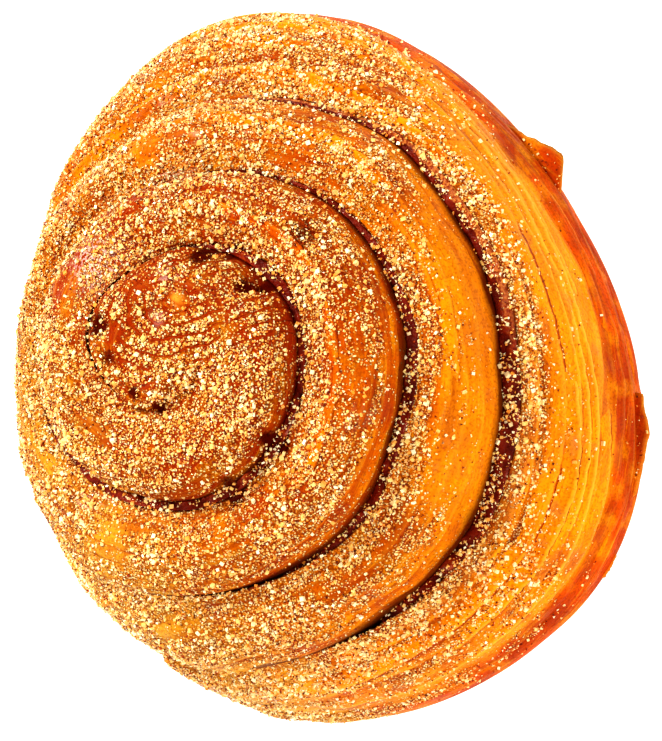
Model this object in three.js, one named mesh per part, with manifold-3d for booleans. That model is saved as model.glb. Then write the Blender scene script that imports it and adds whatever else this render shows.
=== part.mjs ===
// A cinnamon puff pastry roll: a long strip of laminated dough, spread with cinnamon filling, wound
// into a spiral, cut flat underneath and baked so that its middle has risen into a cone. Coarse sugar
// lies on its upturned sides. Units are millimetres, +Z is up, and the origin is on the table under
// the middle of the roll's outline.
//
// A place on the roll is told by its turn: 0 at the middle of the spiral, one more for each time round.
// Seen from above the strip winds clockwise, and whole turns lie towards -Y. The seam of turn t
// parts the strip's turn t from its turn t + 1. Across the strip, 0 is its inner edge and 1 its outer.

import * as THREE from "three";
import { mergeVertices } from "three/addons/utils/BufferGeometryUtils.js";
import Module from "manifold-3d";

const { clamp, degToRad, lerp } = THREE.MathUtils;

// Driving dimensions.
const AXIS_PLACE = new THREE.Vector2(-1.25, 3.9); // where the outer turn's axis stands
const FIRST_TURN = 0.08; // the strip's inner end
const LAST_TURN = 4.26; // the strip's outer end, which lies against the turn before it
const WHOLE_TURN_ANGLE = degToRad(-83.5); // where whole turns lie, round +Z from +X
const STEPS_PER_TURN = 44;
const PROFILE_STEPS = 16; // over the strip's top, and down its outer side where that is bare

const EYE_RADIUS = 3.65; // the seam's radius where the spiral would start
const FIRST_PITCH = 15.65; // the strip's thickness at the middle of the roll
const PITCH_LOSS = 0.94; // half of what each later turn is thinner by
const EYE_LEAN = new THREE.Vector2(-0.3, 2.7); // how far the eye sits from that axis
const LEAN_TURNS = 4; // the lean dies out over this many turns

const EYE_HEIGHT = 48; // the seam's height where the spiral would start
const TURN_DROP = 2.2; // the seam falls by this times the square of the turn
const LOWEST_SHOULDER = 5; // the outer turn's side is at least this tall
const CROWN = 5.4; // how high the strip's rounded top stands over its two seams
const CROWN_SQUARENESS = 2.8;

// Where the roll's outline departs from a spiral: a side pressed flat, a side that spread out.
const OUTLINE_BULGES = [
  { angle: degToRad(22), spread: degToRad(32), reach: 6.2 },
  { angle: degToRad(-48), spread: degToRad(40), reach: -4.6 },
  { angle: degToRad(-102), spread: degToRad(24), reach: 1.7 },
  { angle: degToRad(-148), spread: degToRad(28), reach: -3 },
  { angle: degToRad(112), spread: degToRad(40), reach: -7 },
];
const BULGE_FROM = 2.9; // the seams further in keep to the spiral
const BULGE_TO = 3.7;
// Where its outer turns have sunk: the side they lean away from.
const SAGS = [{ angle: degToRad(112), spread: degToRad(48), reach: -7 }];
const SAG_FROM = 1.4;
const SAG_TO = 2.8;
const WAVES = [
  { perTurn: 1.7, phase: 0.4, share: 0.55 },
  { perTurn: 3.3, phase: 2.1, share: 0.45 },
];
const RADIUS_WAVE = 0.5; // the strip's unevenness, sideways
const HEIGHT_WAVE = 0.8; // and up and down

const BARE_RAMP = 0.07; // in turns, past the tail, where the bare side comes fully into view
const BELLY = 1.3; // the bare side swells by this half-way down
const CREST = 0.5; // how far over its top the strip is highest
const FINE_RELIEF = 0.2; // the leaves of the dough stand out by this on the top
const RELIEF_EDGE = 8; // the higher this power, the nearer a covered turn's edge the leaves reach
const BARE_RELIEF = 0.55; // and by this on the bare side
const TAIL_TAPER = 2; // the strip's outer end is pressed this much thinner
const TAIL_TAPER_TURNS = 0.12;

const SEAM_CLOSED_UNTIL = 0.3; // the middle of the roll has grown together up to this turn
const SEAM_OPEN_FROM = 0.45;
const SEAM_OPEN_UNTIL = 3.15; // and the strip's outer end is pinched on to the turn before it
const SEAM_CLOSED_FROM = 3.23;
const GROWN_TOGETHER = -0.4; // a negative width, so the turns run into each other
const FIRST_SEAM_WIDTH = 1.7;
const LAST_SEAM_WIDTH = 2.6;

const EYE_HOLE_RADIUS = 2; // the first turn runs round this, and the eye's plug fills it
const EYE_PLUG_RADIUS = 4.4;
const EYE_PLUG_CAP = 2.2;
const INNER_END_RAMP = 0.12; // in turns, where the second turn bends out round the inner end
const STRETCH_ENDS = [FIRST_TURN, 0.9, 3.5, LAST_TURN]; // the strip is made in three stretches

const FILLING_FIRST_TURN = 0.4;
const FILLING_LAST_TURN = 3.15;
const FILLING_AIR = 0.3; // on both sides of the filling
const FILLING_RECESS = 0.6; // the filling ends this far below the seam's height
const FILLING_CLEARANCE = 1; // and this far above the table

const SUGAR_GRAINS = 105;
const SUGAR_SIDE = 1.15;
const SUGAR_THINNEST = 0.7; // the thinnest grain's depth, as a share of its side
const SUGAR_SUNK = 0.2; // share of a grain's side that is below the crust
const SUGAR_ACROSS = [0.2, 0.75]; // where the grains lie across the strip
const SUGAR_SEED = 20;

// Leaves that have come away from the side: one large corner, and two at the foot.
const LIFTED_LEAVES = [
  { angle: degToRad(-46), height: 16, width: 10, reach: 3.6, thickness: 1.8, droop: 0.35 },
  { angle: degToRad(-94), height: 3.6, width: 8, reach: 2.2, thickness: 1.4, droop: 0.1 },
  { angle: degToRad(-108), height: 2.4, width: 6, reach: 2, thickness: 1.2, droop: 0 },
];
const LEAF_ROOT = 4; // how far a lifted leaf reaches back into the dough
const LEAF_TIP_ASIDE = 0.17; // its tip is this share of its width off its middle

const wasm = await Module();
wasm.setup();

const smoothstep = (from, to, x) => THREE.MathUtils.smoothstep(x, from, to);

// A repeatable source of numbers from 0 to 1.
function seededRandom(seed) {
  let state = seed >>> 0;
  return () => {
    state = (state + 0x6d2b79f5) >>> 0;
    let mixed = Math.imul(state ^ (state >>> 15), state | 1);
    mixed ^= mixed + Math.imul(mixed ^ (mixed >>> 7), mixed | 61);
    return ((mixed ^ (mixed >>> 14)) >>> 0) / 2 ** 32;
  };
}

// The direction from the spiral's axis at a turn.
function turnAngle(turn) {
  return WHOLE_TURN_ANGLE - 2 * Math.PI * turn;
}

// The last place on the strip that lies in a direction, so where its outer face is bare.
function bareTurnAt(angle) {
  const past = (WHOLE_TURN_ANGLE - angle) / (2 * Math.PI);
  return past + Math.floor(LAST_TURN - past);
}

// The difference of two angles, from -PI to PI.
function angleBetween(a, b) {
  const turns = (a - b) / (2 * Math.PI);
  return (turns - Math.round(turns)) * 2 * Math.PI;
}

// How far a list of bulges stands out in a direction.
function bulgeAt(angle, bulges) {
  const reaches = bulges.map(({ angle: middle, spread, reach }) => {
    const away = angleBetween(angle, middle) / spread;
    return reach * Math.exp(-away * away);
  });
  return reaches.reduce((sum, reach) => sum + reach, 0);
}

// Slow waves along the strip, from -1 to 1.
function wave(turn, lag) {
  const parts = WAVES.map(({ perTurn, phase, share }) => {
    return share * Math.sin(2 * Math.PI * perTurn * turn + phase + lag);
  });
  return parts.reduce((sum, part) => sum + part, 0);
}

function seamRadius(turn) {
  const wound = EYE_RADIUS + FIRST_PITCH * turn - PITCH_LOSS * turn * turn;
  const bulge = bulgeAt(turnAngle(turn), OUTLINE_BULGES) * smoothstep(BULGE_FROM, BULGE_TO, turn);
  return wound + bulge + RADIUS_WAVE * wave(turn, 0);
}

function seamHeight(turn) {
  const cone = EYE_HEIGHT - TURN_DROP * turn * turn;
  const sag = bulgeAt(turnAngle(turn), SAGS) * smoothstep(SAG_FROM, SAG_TO, turn);
  return Math.max(cone + sag + HEIGHT_WAVE * wave(turn, Math.PI / 2), LOWEST_SHOULDER);
}

// The width of the gap between the strip's turn t and its turn t + 1.
function seamWidth(turn) {
  const opening = smoothstep(SEAM_CLOSED_UNTIL, SEAM_OPEN_FROM, turn);
  const closing = smoothstep(SEAM_OPEN_UNTIL, SEAM_CLOSED_FROM, turn);
  const wide = lerp(FIRST_SEAM_WIDTH, LAST_SEAM_WIDTH, clamp(turn / (LAST_TURN - 1), 0, 1));
  return lerp(GROWN_TOGETHER, wide, opening - closing);
}

// Where the middle of a turn stands. The eye leans the most.
function middleOf(turn) {
  return AXIS_PLACE.clone().addScaledVector(EYE_LEAN, clamp(1 - turn / LEAN_TURNS, 0, 1));
}

// The way out from the middle at a turn, as a step of some length.
function stepOut(turn, length) {
  const angle = turnAngle(turn);
  return new THREE.Vector2(length * Math.cos(angle), length * Math.sin(angle));
}

// A point in plan, at a distance beyond the seam of a turn.
function seamPoint(turn, beyond) {
  return middleOf(turn).add(stepOut(turn, seamRadius(turn) + beyond));
}

// The strip's inner face in plan: the seam of the turn before, or the eye's hole in the first turn.
function innerPoint(turn) {
  const eye = middleOf(0).add(stepOut(turn, EYE_HOLE_RADIUS));
  const seamStart = 1 + FIRST_TURN;
  if (turn <= seamStart - INNER_END_RAMP) return eye;
  const before = Math.max(turn - 1, FIRST_TURN);
  const seam = seamPoint(before, seamWidth(before) / 2);
  return eye.lerp(seam, smoothstep(seamStart - INNER_END_RAMP, seamStart, turn));
}

// The strip's outer face in plan, pressed thinner at the tail.
function outerPoint(turn) {
  const pressed = TAIL_TAPER * smoothstep(LAST_TURN - TAIL_TAPER_TURNS, LAST_TURN, turn);
  return seamPoint(turn, -seamWidth(turn) / 2 - pressed);
}

// The height of the strip's top at a share of the way across it.
function topHeight(turn, across) {
  const inner = seamHeight(Math.max(turn - 1, 0));
  const outer = seamHeight(turn);
  const side = Math.abs(2 * across - 1) ** CROWN_SQUARENESS;
  return lerp(inner, outer, across) + CROWN * (1 - side) ** (1 / CROWN_SQUARENESS);
}

// The strip's section at a turn: a closed loop of points from the foot of its inner face, over its
// rounded top and, where the outer face is bare, down that face. Every other point stands out as a
// leaf of the dough.
function stripSection(turn) {
  const inner = innerPoint(turn);
  const outer = outerPoint(turn);
  const outward = outer.clone().sub(inner).normalize();
  const shoulder = topHeight(turn, 1);
  const bare = smoothstep(LAST_TURN - 1, LAST_TURN - 1 + BARE_RAMP, turn);
  const topLength = inner.distanceTo(outer) + CROWN;
  const length = topLength + bare * shoulder * (1 - 1 / PROFILE_STEPS);
  const relief = lerp(FINE_RELIEF, BARE_RELIEF, bare);

  const points = [new THREE.Vector3(inner.x, inner.y, 0)];
  for (let step = 0; step <= PROFILE_STEPS; step++) {
    const distance = (length * step) / PROFILE_STEPS;
    const along = Math.min(distance / topLength, 1);
    const across = (1 - Math.cos(Math.PI * along)) / 2;
    const down = clamp((distance - topLength) / shoulder, 0, 1);
    const edge = step === 0 ? 0 : lerp(1 - along ** RELIEF_EDGE, 1, bare);
    const leaf = relief * edge * (step % 2 ? 1 : -1);
    const facing = (Math.PI / 2) * smoothstep(CREST, 1, along); // upwards, then outwards
    const out = leaf * Math.sin(facing) * bare + bare * BELLY * Math.sin(Math.PI * down);
    const plan = inner.clone().lerp(outer, across).addScaledVector(outward, out);
    const height = topHeight(turn, across) - shoulder * down + leaf * Math.cos(facing);
    points.push(new THREE.Vector3(plan.x, plan.y, height));
  }
  points.push(new THREE.Vector3(outer.x, outer.y, 0));
  return points;
}

// A closed geometry through a list of sections, each a loop of as many points.
function loft(sections) {
  const around = sections[0].length;
  const index = [];
  for (let row = 0; row + 1 < sections.length; row++) {
    for (let column = 0; column < around; column++) {
      const here = row * around + column;
      const beside = row * around + ((column + 1) % around);
      index.push(here, here + around, beside);
      index.push(beside, here + around, beside + around);
    }
  }
  const lastRow = (sections.length - 1) * around;
  for (const [a, b, c] of endTriangles(sections[0])) index.push(a, c, b);
  for (const [a, b, c] of endTriangles(sections.at(-1))) index.push(lastRow + a, lastRow + b, lastRow + c);

  const geometry = new THREE.BufferGeometry();
  const positions = sections.flat().flatMap((point) => point.toArray());
  geometry.setAttribute("position", new THREE.Float32BufferAttribute(positions, 3));
  geometry.setIndex(index);
  return geometry;
}

// Triangles over the end of a loft, whose section stands upright: worked out in its own plane.
function endTriangles(section) {
  const foot = section[0];
  const flat = section.map((point) => {
    return new THREE.Vector2(Math.hypot(point.x - foot.x, point.y - foot.y), point.z);
  });
  return THREE.ShapeUtils.triangulateShape(flat, []);
}

// A closed geometry as a solid, for joining.
function solidFrom(geometry) {
  const bare = geometry.clone();
  bare.deleteAttribute("normal");
  bare.deleteAttribute("uv");
  const merged = mergeVertices(bare, 1e-4);
  const vertProperties = new Float32Array(merged.attributes.position.array);
  const triVerts = new Uint32Array(merged.index.array);
  return new wasm.Manifold(new wasm.Mesh({ numProp: 3, vertProperties, triVerts }));
}

// A joined solid as a geometry.
function geometryFrom(solid) {
  const mesh = solid.getMesh();
  const geometry = new THREE.BufferGeometry();
  geometry.setAttribute("position", new THREE.Float32BufferAttribute(mesh.vertProperties, 3));
  geometry.setIndex(new THREE.BufferAttribute(mesh.triVerts, 1));
  return geometry;
}

// One stretch of the strip.
function makeStretch(first, last) {
  const steps = Math.round((last - first) * STEPS_PER_TURN);
  const sections = [];
  for (let step = 0; step <= steps; step++) sections.push(stripSection(lerp(first, last, step / steps)));
  return loft(sections);
}

// The low dome of dough at the eye of the spiral, which the first turn closes on.
function makeEyePlug() {
  const rim = EYE_HEIGHT + CROWN - EYE_PLUG_CAP;
  const profile = [new THREE.Vector2(0, 0), new THREE.Vector2(EYE_PLUG_RADIUS, 0)];
  const arcSteps = 4;
  for (let step = 0; step <= arcSteps; step++) {
    const angle = (Math.PI / 2) * (step / arcSteps);
    const radius = step === arcSteps ? 0 : EYE_PLUG_RADIUS * Math.cos(angle);
    profile.push(new THREE.Vector2(radius, rim + EYE_PLUG_CAP * Math.sin(angle)));
  }
  const plug = new THREE.LatheGeometry(profile, 14).rotateX(Math.PI / 2);
  const eye = middleOf(0);
  return plug.translate(eye.x, eye.y, 0);
}

// A three-cornered leaf that sticks out of the bare side, its tip drooping.
function makeLiftedLeaf({ angle, height, width, reach, thickness, droop }) {
  const outline = new THREE.Shape();
  outline.moveTo(-LEAF_ROOT, -width / 2);
  outline.lineTo(0, -width / 2);
  outline.lineTo(reach, width * LEAF_TIP_ASIDE);
  outline.lineTo(0, width / 2);
  outline.lineTo(-LEAF_ROOT, width / 2);
  outline.closePath();
  const leaf = new THREE.ExtrudeGeometry(outline, { depth: thickness, bevelEnabled: false });
  const place = outerPoint(bareTurnAt(angle));
  leaf.translate(0, 0, -thickness / 2).rotateY(droop).rotateZ(angle);
  return leaf.translate(place.x, place.y, height);
}

// Coarse sugar grains, spread evenly along the strip's top.
function makeSugarGrains() {
  const random = seededRandom(SUGAR_SEED);
  const grains = [];
  for (let count = 0; count < SUGAR_GRAINS; count++) {
    const share = Math.sqrt((count + 0.5) / SUGAR_GRAINS);
    const turn = lerp(FIRST_TURN, LAST_TURN, share);
    const across = lerp(...SUGAR_ACROSS, random());
    const plan = innerPoint(turn).lerp(outerPoint(turn), across);
    const depth = SUGAR_SIDE * lerp(SUGAR_THINNEST, 1, random());
    const grain = new THREE.BoxGeometry(SUGAR_SIDE, depth, SUGAR_SIDE);
    grain.rotateX(random() * Math.PI).rotateY(random() * Math.PI).rotateZ(random() * Math.PI);
    const lift = SUGAR_SIDE * (0.5 - SUGAR_SUNK);
    grains.push(grain.translate(plan.x, plan.y, topHeight(turn, across) + lift));
  }
  return grains;
}

// The whole strip of dough, with what is baked to it.
function makeDough() {
  const pieces = [
    ...STRETCH_ENDS.slice(1).map((last, before) => makeStretch(STRETCH_ENDS[before], last)),
    makeEyePlug(),
    ...LIFTED_LEAVES.map(makeLiftedLeaf),
    ...makeSugarGrains(),
  ];
  return geometryFrom(pieces.map(solidFrom).reduce((joined, piece) => joined.add(piece)));
}

// The filling: a thin band that stands in the seam and follows it all the way round.
function makeFilling() {
  const steps = Math.round((FILLING_LAST_TURN - FILLING_FIRST_TURN) * STEPS_PER_TURN);
  const sections = [];
  for (let step = 0; step <= steps; step++) {
    const turn = lerp(FILLING_FIRST_TURN, FILLING_LAST_TURN, step / steps);
    const half = seamWidth(turn) / 2 - FILLING_AIR;
    const inner = seamPoint(turn, -half);
    const outer = seamPoint(turn, half);
    const top = seamHeight(turn) - FILLING_RECESS;
    sections.push([
      new THREE.Vector3(inner.x, inner.y, FILLING_CLEARANCE),
      new THREE.Vector3(inner.x, inner.y, top),
      new THREE.Vector3(outer.x, outer.y, top),
      new THREE.Vector3(outer.x, outer.y, FILLING_CLEARANCE),
    ]);
  }
  return loft(sections);
}

function namedMesh(name, geometry, finish) {
  const mesh = new THREE.Mesh(geometry, new THREE.MeshStandardMaterial({ ...finish, metalness: 0 }));
  mesh.name = name;
  return mesh;
}

const roll = new THREE.Group();
roll.add(namedMesh("pastry_dough", makeDough(), { color: 0xd98a3a, roughness: 0.55 }));
roll.add(namedMesh("cinnamon_filling", makeFilling(), { color: 0x5a2412, roughness: 0.4 }));

export default roll;
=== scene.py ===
"""A cinnamon puff pastry roll, lying flat and seen from above and to one side.

A long strip of laminated dough is wound into a spiral round a cinnamon filling and baked, so that its
middle has risen into a cone. Coarse golden sugar lies on its upturned sides. Sizes are in metres, and
a place on the roll is told by its turn: 0 at the middle of the spiral, one more for each time round.
The seam of turn t parts the strip's turn t from its turn t + 1.
"""

import logging
import math
from dataclasses import dataclass, field, replace
from enum import Enum
from typing import Any, Callable, Iterable, Optional, Union

import bmesh
import bpy
from mathutils import Matrix, Vector


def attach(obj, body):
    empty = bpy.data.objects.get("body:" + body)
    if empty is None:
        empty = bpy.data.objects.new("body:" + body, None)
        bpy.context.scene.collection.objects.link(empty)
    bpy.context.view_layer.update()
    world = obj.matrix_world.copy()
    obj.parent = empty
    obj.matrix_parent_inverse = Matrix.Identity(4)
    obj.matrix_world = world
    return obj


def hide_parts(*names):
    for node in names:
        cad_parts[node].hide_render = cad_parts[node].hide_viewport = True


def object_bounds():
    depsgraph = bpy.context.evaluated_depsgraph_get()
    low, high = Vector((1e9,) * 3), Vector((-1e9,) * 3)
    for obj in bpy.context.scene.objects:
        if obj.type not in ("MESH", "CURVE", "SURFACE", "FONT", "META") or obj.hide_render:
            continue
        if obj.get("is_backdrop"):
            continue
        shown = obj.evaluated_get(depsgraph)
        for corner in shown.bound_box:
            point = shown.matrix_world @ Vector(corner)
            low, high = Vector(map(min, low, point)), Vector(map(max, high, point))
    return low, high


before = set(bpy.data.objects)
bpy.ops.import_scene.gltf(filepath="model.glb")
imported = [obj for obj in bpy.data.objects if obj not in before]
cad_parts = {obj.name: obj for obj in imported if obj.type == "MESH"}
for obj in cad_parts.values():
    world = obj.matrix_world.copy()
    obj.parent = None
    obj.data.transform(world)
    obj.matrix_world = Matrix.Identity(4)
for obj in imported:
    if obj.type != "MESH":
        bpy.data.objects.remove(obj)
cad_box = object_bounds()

MM = 0.001
TAU = 2 * math.pi
BODY = "root"
IMAGE_LONG_SIDE = 741  # pixels
CLEAR_OF_SEAMS = 5 * MM  # what a piece that lies away from every seam keeps as its way to the next one

log = logging.getLogger("pastry_roll")

Colour = tuple[float, float, float, float]
Value = Union[float, "Socket"]
Place = tuple[Value, Value]

WHITE: Colour = (1.0, 1.0, 1.0, 1.0)


class Slot(Enum):
    """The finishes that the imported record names."""

    DOUGH = "pastry_dough"
    FILLING = "cinnamon_filling"


# ---------------------------------------------------------------- node trees


def pick(sockets: Iterable[bpy.types.NodeSocket], key: Union[str, int]) -> bpy.types.NodeSocket:
    """A node's socket by its name or its number.

    Args:
        sockets: a node's inputs or outputs.
        key: the socket's name, or its number among all of them.

    Returns:
        The socket, of those in use where several share a name.
    """
    if isinstance(key, int):
        return sockets[key]
    return next(socket for socket in sockets if socket.name == key and socket.enabled)


class Socket:
    """The outcome of a node, which Python's own operators reckon with."""

    def __init__(self, graph: "Graph", source: bpy.types.NodeSocket) -> None:
        """Wraps a node's output."""
        self.graph = graph
        self.source = source

    def output(self, name: str) -> "Socket":
        """Another output of the same node."""
        return Socket(self.graph, pick(self.source.node.outputs, name))

    def _pair(self, operation: str, first: Value, second: Value) -> "Socket":
        """Adds the Math or Vector Math node for an operator.

        Args:
            operation: the name that both kinds of node give it.
            first: the value before the operator.
            second: the value after it.

        Returns:
            The outcome.
        """
        kinds = [value.source.type for value in (first, second) if isinstance(value, Socket)]
        if not {"VECTOR", "RGBA"} & set(kinds):
            return self.graph.node("ShaderNodeMath", {"operation": operation}, {0: first, 1: second})
        spread = [
            value if isinstance(value, (Socket, tuple)) else (value,) * 3
            for value in (first, second)
        ]
        return self.graph.node("ShaderNodeVectorMath", {"operation": operation}, dict(enumerate(spread)))

    def __add__(self, other: Value) -> "Socket":
        """self + other."""
        return self._pair("ADD", self, other)

    def __radd__(self, other: Value) -> "Socket":
        """other + self."""
        return self._pair("ADD", other, self)

    def __sub__(self, other: Value) -> "Socket":
        """self - other."""
        return self._pair("SUBTRACT", self, other)

    def __rsub__(self, other: Value) -> "Socket":
        """other - self."""
        return self._pair("SUBTRACT", other, self)

    def __mul__(self, other: Value) -> "Socket":
        """self * other."""
        return self._pair("MULTIPLY", self, other)

    def __rmul__(self, other: Value) -> "Socket":
        """other * self."""
        return self._pair("MULTIPLY", other, self)

    def __truediv__(self, other: Value) -> "Socket":
        """self / other."""
        return self._pair("DIVIDE", self, other)

    def __rtruediv__(self, other: Value) -> "Socket":
        """other / self."""
        return self._pair("DIVIDE", other, self)


class Graph:
    """A node tree that is added to one node at a time."""

    def __init__(self, tree: bpy.types.NodeTree) -> None:
        """Starts on a tree.

        Args:
            tree: the tree that the nodes go into.
        """
        self.tree = tree

    def node(
        self,
        kind: str,
        settings: Optional[dict[str, Any]] = None,
        inputs: Optional[dict[Union[str, int], Any]] = None,
        output: Union[str, int] = 0,
    ) -> Socket:
        """Adds any node.

        Args:
            kind: Blender's name for the type of node.
            settings: its properties, set first; "stops" holds a ramp's places and colours.
            inputs: values or links for its sockets, by name or number.
            output: the output that is handed back.

        Returns:
            That output.
        """
        node = self.tree.nodes.new(kind)
        for name, value in (settings or {}).items():
            if name == "stops":
                self._set_stops(node.color_ramp, value)
            else:
                setattr(node, name, value)
        for key, value in (inputs or {}).items():
            socket = pick(node.inputs, key)
            if isinstance(value, Socket):
                self.tree.links.new(value.source, socket)
            else:
                socket.default_value = value
        return Socket(self, pick(node.outputs, output))

    @staticmethod
    def _set_stops(ramp: bpy.types.ColorRamp, stops: list[tuple[float, Colour]]) -> None:
        """Gives a colour ramp its stops.

        Args:
            ramp: the ramp.
            stops: its places and colours.
        """
        while len(ramp.elements) < len(stops):
            ramp.elements.new(1.0)
        for element, (place, colour) in zip(ramp.elements, stops):
            element.position = place
            element.color = colour

    def vector(self, x: Value, y: Value, z: Value) -> Socket:
        """A vector of three values."""
        return self.node("ShaderNodeCombineXYZ", inputs={0: x, 1: y, 2: z})

    def parts(self, vector: Socket) -> tuple[Socket, Socket, Socket]:
        """A vector's three values."""
        x = self.node("ShaderNodeSeparateXYZ", inputs={0: vector})
        return x, x.output("Y"), x.output("Z")

    def noise(self, at: Socket, scale: float, detail: float = 2.0) -> Socket:
        """Smooth noise from 0 to 1, about 0.5, at a place."""
        inputs = {"Vector": at, "Scale": scale, "Detail": detail}
        return self.node("ShaderNodeTexNoise", inputs=inputs)

    def ramp(self, share: Value, stops: list[tuple[float, Colour]]) -> Socket:
        """A colour that changes with a share."""
        return self.node("ShaderNodeValToRGB", {"stops": stops}, {"Fac": share})

    def mix(self, share: Value, first: Any, second: Any, way: str = "MIX") -> Socket:
        """Two colours mixed by a share, which is kept from 0 to 1."""
        settings = {"data_type": "RGBA", "blend_type": way}
        return self.node("ShaderNodeMix", settings, {"Factor": share, "A": first, "B": second}, "Result")


@dataclass(frozen=True)
class HandShift:
    """How far a roll that was shaped by hand is uneven."""

    scale: float = 52.0
    sideways: float = 2.8 * MM
    upwards: float = 2.2 * MM
    full_height: float = 12 * MM
    full_within: float = 40 * MM
    none_beyond: float = 50 * MM


class Recipe(Graph):
    """A Geometry Nodes tree with named inputs, which makes one plain mesh."""

    shift = HandShift()

    def __init__(self, name: str) -> None:
        """Starts an empty tree.

        Args:
            name: the tree's name.
        """
        super().__init__(bpy.data.node_groups.new(name, "GeometryNodeTree"))
        for way in ("INPUT", "OUTPUT"):
            self.tree.interface.new_socket("Geometry", in_out=way, socket_type="NodeSocketGeometry")
        self.entry = self.tree.nodes.new("NodeGroupInput")
        self.identifiers: dict[str, str] = {}
        self.sizes: dict[str, Any] = {}

    def size(self, name: str, value: Union[int, float]) -> Socket:
        """Adds a named input.

        Args:
            name: what the input is called.
            value: the value that it has unless make() gives another.

        Returns:
            The input, for the tree's own nodes.
        """
        kind = "NodeSocketInt" if isinstance(value, int) else "NodeSocketFloat"
        socket = self.tree.interface.new_socket(name, in_out="INPUT", socket_type=kind)
        self.identifiers[name] = socket.identifier
        self.sizes[name] = value
        return Socket(self, self.entry.outputs[name])

    def given(self) -> Socket:
        """The mesh that the tree starts from."""
        return Socket(self, self.entry.outputs["Geometry"])

    def place(self) -> Socket:
        """Where a point is."""
        return self.node("GeometryNodeInputPosition")

    def facing(self) -> Socket:
        """Which way the surface faces at a point."""
        return self.node("GeometryNodeInputNormal")

    def store(self, geometry: Socket, name: str, value: Value) -> Socket:
        """Keeps a value at each point, for later nodes and for the finish.

        Args:
            geometry: what the points belong to.
            name: what the value is called.
            value: the value.

        Returns:
            The geometry with the value.
        """
        settings = {"data_type": "FLOAT", "domain": "POINT"}
        inputs = {"Geometry": geometry, "Name": name, "Value": value}
        return self.node("GeometryNodeStoreNamedAttribute", settings, inputs)

    def recall(self, name: str) -> Socket:
        """A value kept by store()."""
        return self.node("GeometryNodeInputNamedAttribute", {"data_type": "FLOAT"}, {"Name": name})

    def grid(self, columns: Value, rows: Value) -> tuple[Socket, Socket, Socket]:
        """A sheet of points, with each point's share along it and across it.

        Args:
            columns: points along the sheet.
            rows: points across the sheet.

        Returns:
            The sheet, and the two shares from 0 to 1.
        """
        inputs = {"Size X": 1.0, "Size Y": 1.0, "Vertices X": columns, "Vertices Y": rows}
        sheet = self.node("GeometryNodeMeshGrid", inputs=inputs)
        x, y, _ = self.parts(self.place())
        return sheet, x + 0.5, y + 0.5

    def move(self, geometry: Socket, **where: Socket) -> Socket:
        """Sets each point's Position, or moves it by an Offset."""
        return self.node("GeometryNodeSetPosition", inputs={"Geometry": geometry, **where})

    def handle(self, geometry: Socket, axis: Place) -> Socket:
        """Shifts everything a little this way and that, as a roll shaped by hand is uneven.

        Args:
            geometry: what is shifted.
            axis: the middle of the roll, from where the shift dies out towards the rim.

        Returns:
            The shifted geometry.
        """
        shift = self.shift
        x, y, z = self.parts(self.place())
        inside = smoothstep(shift.none_beyond, shift.full_within, apart((x, y), axis))
        inputs = {"Scale": shift.scale, "Detail": 1.0}
        drift = self.node("ShaderNodeTexNoise", inputs=inputs, output="Color") - 0.5
        east, north, up = self.parts(drift)
        sideways = inside * shift.sideways
        upwards = inside * shift.upwards * smoothstep(0.0, shift.full_height, z)
        return self.move(geometry, Offset=self.vector(east * sideways, north * sideways, up * upwards))

    def finish(self, geometry: Socket, material: bpy.types.Material) -> None:
        """Ends the tree: instances become mesh and get their material.

        Args:
            geometry: what the tree has made.
            material: its material.
        """
        real = self.node("GeometryNodeRealizeInstances", inputs={"Geometry": geometry})
        inputs = {"Geometry": real, "Material": material}
        dressed = self.node("GeometryNodeSetMaterial", inputs=inputs)
        end = self.tree.nodes.new("NodeGroupOutput")
        self.tree.links.new(dressed.source, end.inputs["Geometry"])

    def make(self, name: str, start: Optional[bpy.types.Mesh] = None, **sizes: float) -> bpy.types.Object:
        """Runs the tree once.

        Args:
            name: the new object's name.
            start: the mesh that the tree is given, if it needs one.
            sizes: inputs that differ from the tree's own, by name with _ for each space.

        Returns:
            An object with the plain mesh that the tree made.
        """
        made = add_object(name, start or bpy.data.meshes.new(name))
        modifier = made.modifiers.new(name, "NODES")
        modifier.node_group = self.tree
        changed = {size.replace("_", " ").capitalize(): value for size, value in sizes.items()}
        for size, value in {**self.sizes, **changed}.items():
            modifier[self.identifiers[size]] = value
        bpy.context.view_layer.update()
        evaluated = made.evaluated_get(bpy.context.evaluated_depsgraph_get())
        mesh = bpy.data.meshes.new_from_object(evaluated)
        made.modifiers.clear()
        made.data = mesh
        mesh.name = name
        keep_one_material(mesh)
        return made


# ---------------------------------------------------------------- arithmetic


def reckon(operation: str, plain: Callable[..., float], *values: Value) -> Value:
    """Works out a function of sockets by a Math node, and of numbers by Python.

    Args:
        operation: the Math node's operation.
        plain: the same function on numbers.
        values: what the function is taken of.

    Returns:
        A socket where any value is one, or else a number.
    """
    sockets = [value for value in values if isinstance(value, Socket)]
    if not sockets:
        return plain(*values)
    return sockets[0].graph.node("ShaderNodeMath", {"operation": operation}, dict(enumerate(values)))


def sine(angle: Value) -> Value:
    """The sine of an angle."""
    return reckon("SINE", math.sin, angle)


def cosine(angle: Value) -> Value:
    """The cosine of an angle."""
    return reckon("COSINE", math.cos, angle)


def power(base: Value, exponent: Value) -> Value:
    """A base from 0 up, to an exponent."""
    return reckon("POWER", pow, base, exponent)


def exponential(value: Value) -> Value:
    """e to a value."""
    return reckon("EXPONENT", math.exp, value)


def absolute(value: Value) -> Value:
    """A value without its sign."""
    return reckon("ABSOLUTE", abs, value)


def whole(value: Value) -> Value:
    """The nearest whole number."""
    return reckon("ROUND", round, value)


def remainder(value: Value) -> Value:
    """What is past the last whole number."""
    return reckon("FRACT", lambda plain: plain - math.floor(plain), value)


def larger(first: Value, second: Value) -> Value:
    """The larger of two values."""
    return reckon("MAXIMUM", max, first, second)


def smaller(first: Value, second: Value) -> Value:
    """The smaller of two values."""
    return reckon("MINIMUM", min, first, second)


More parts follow.
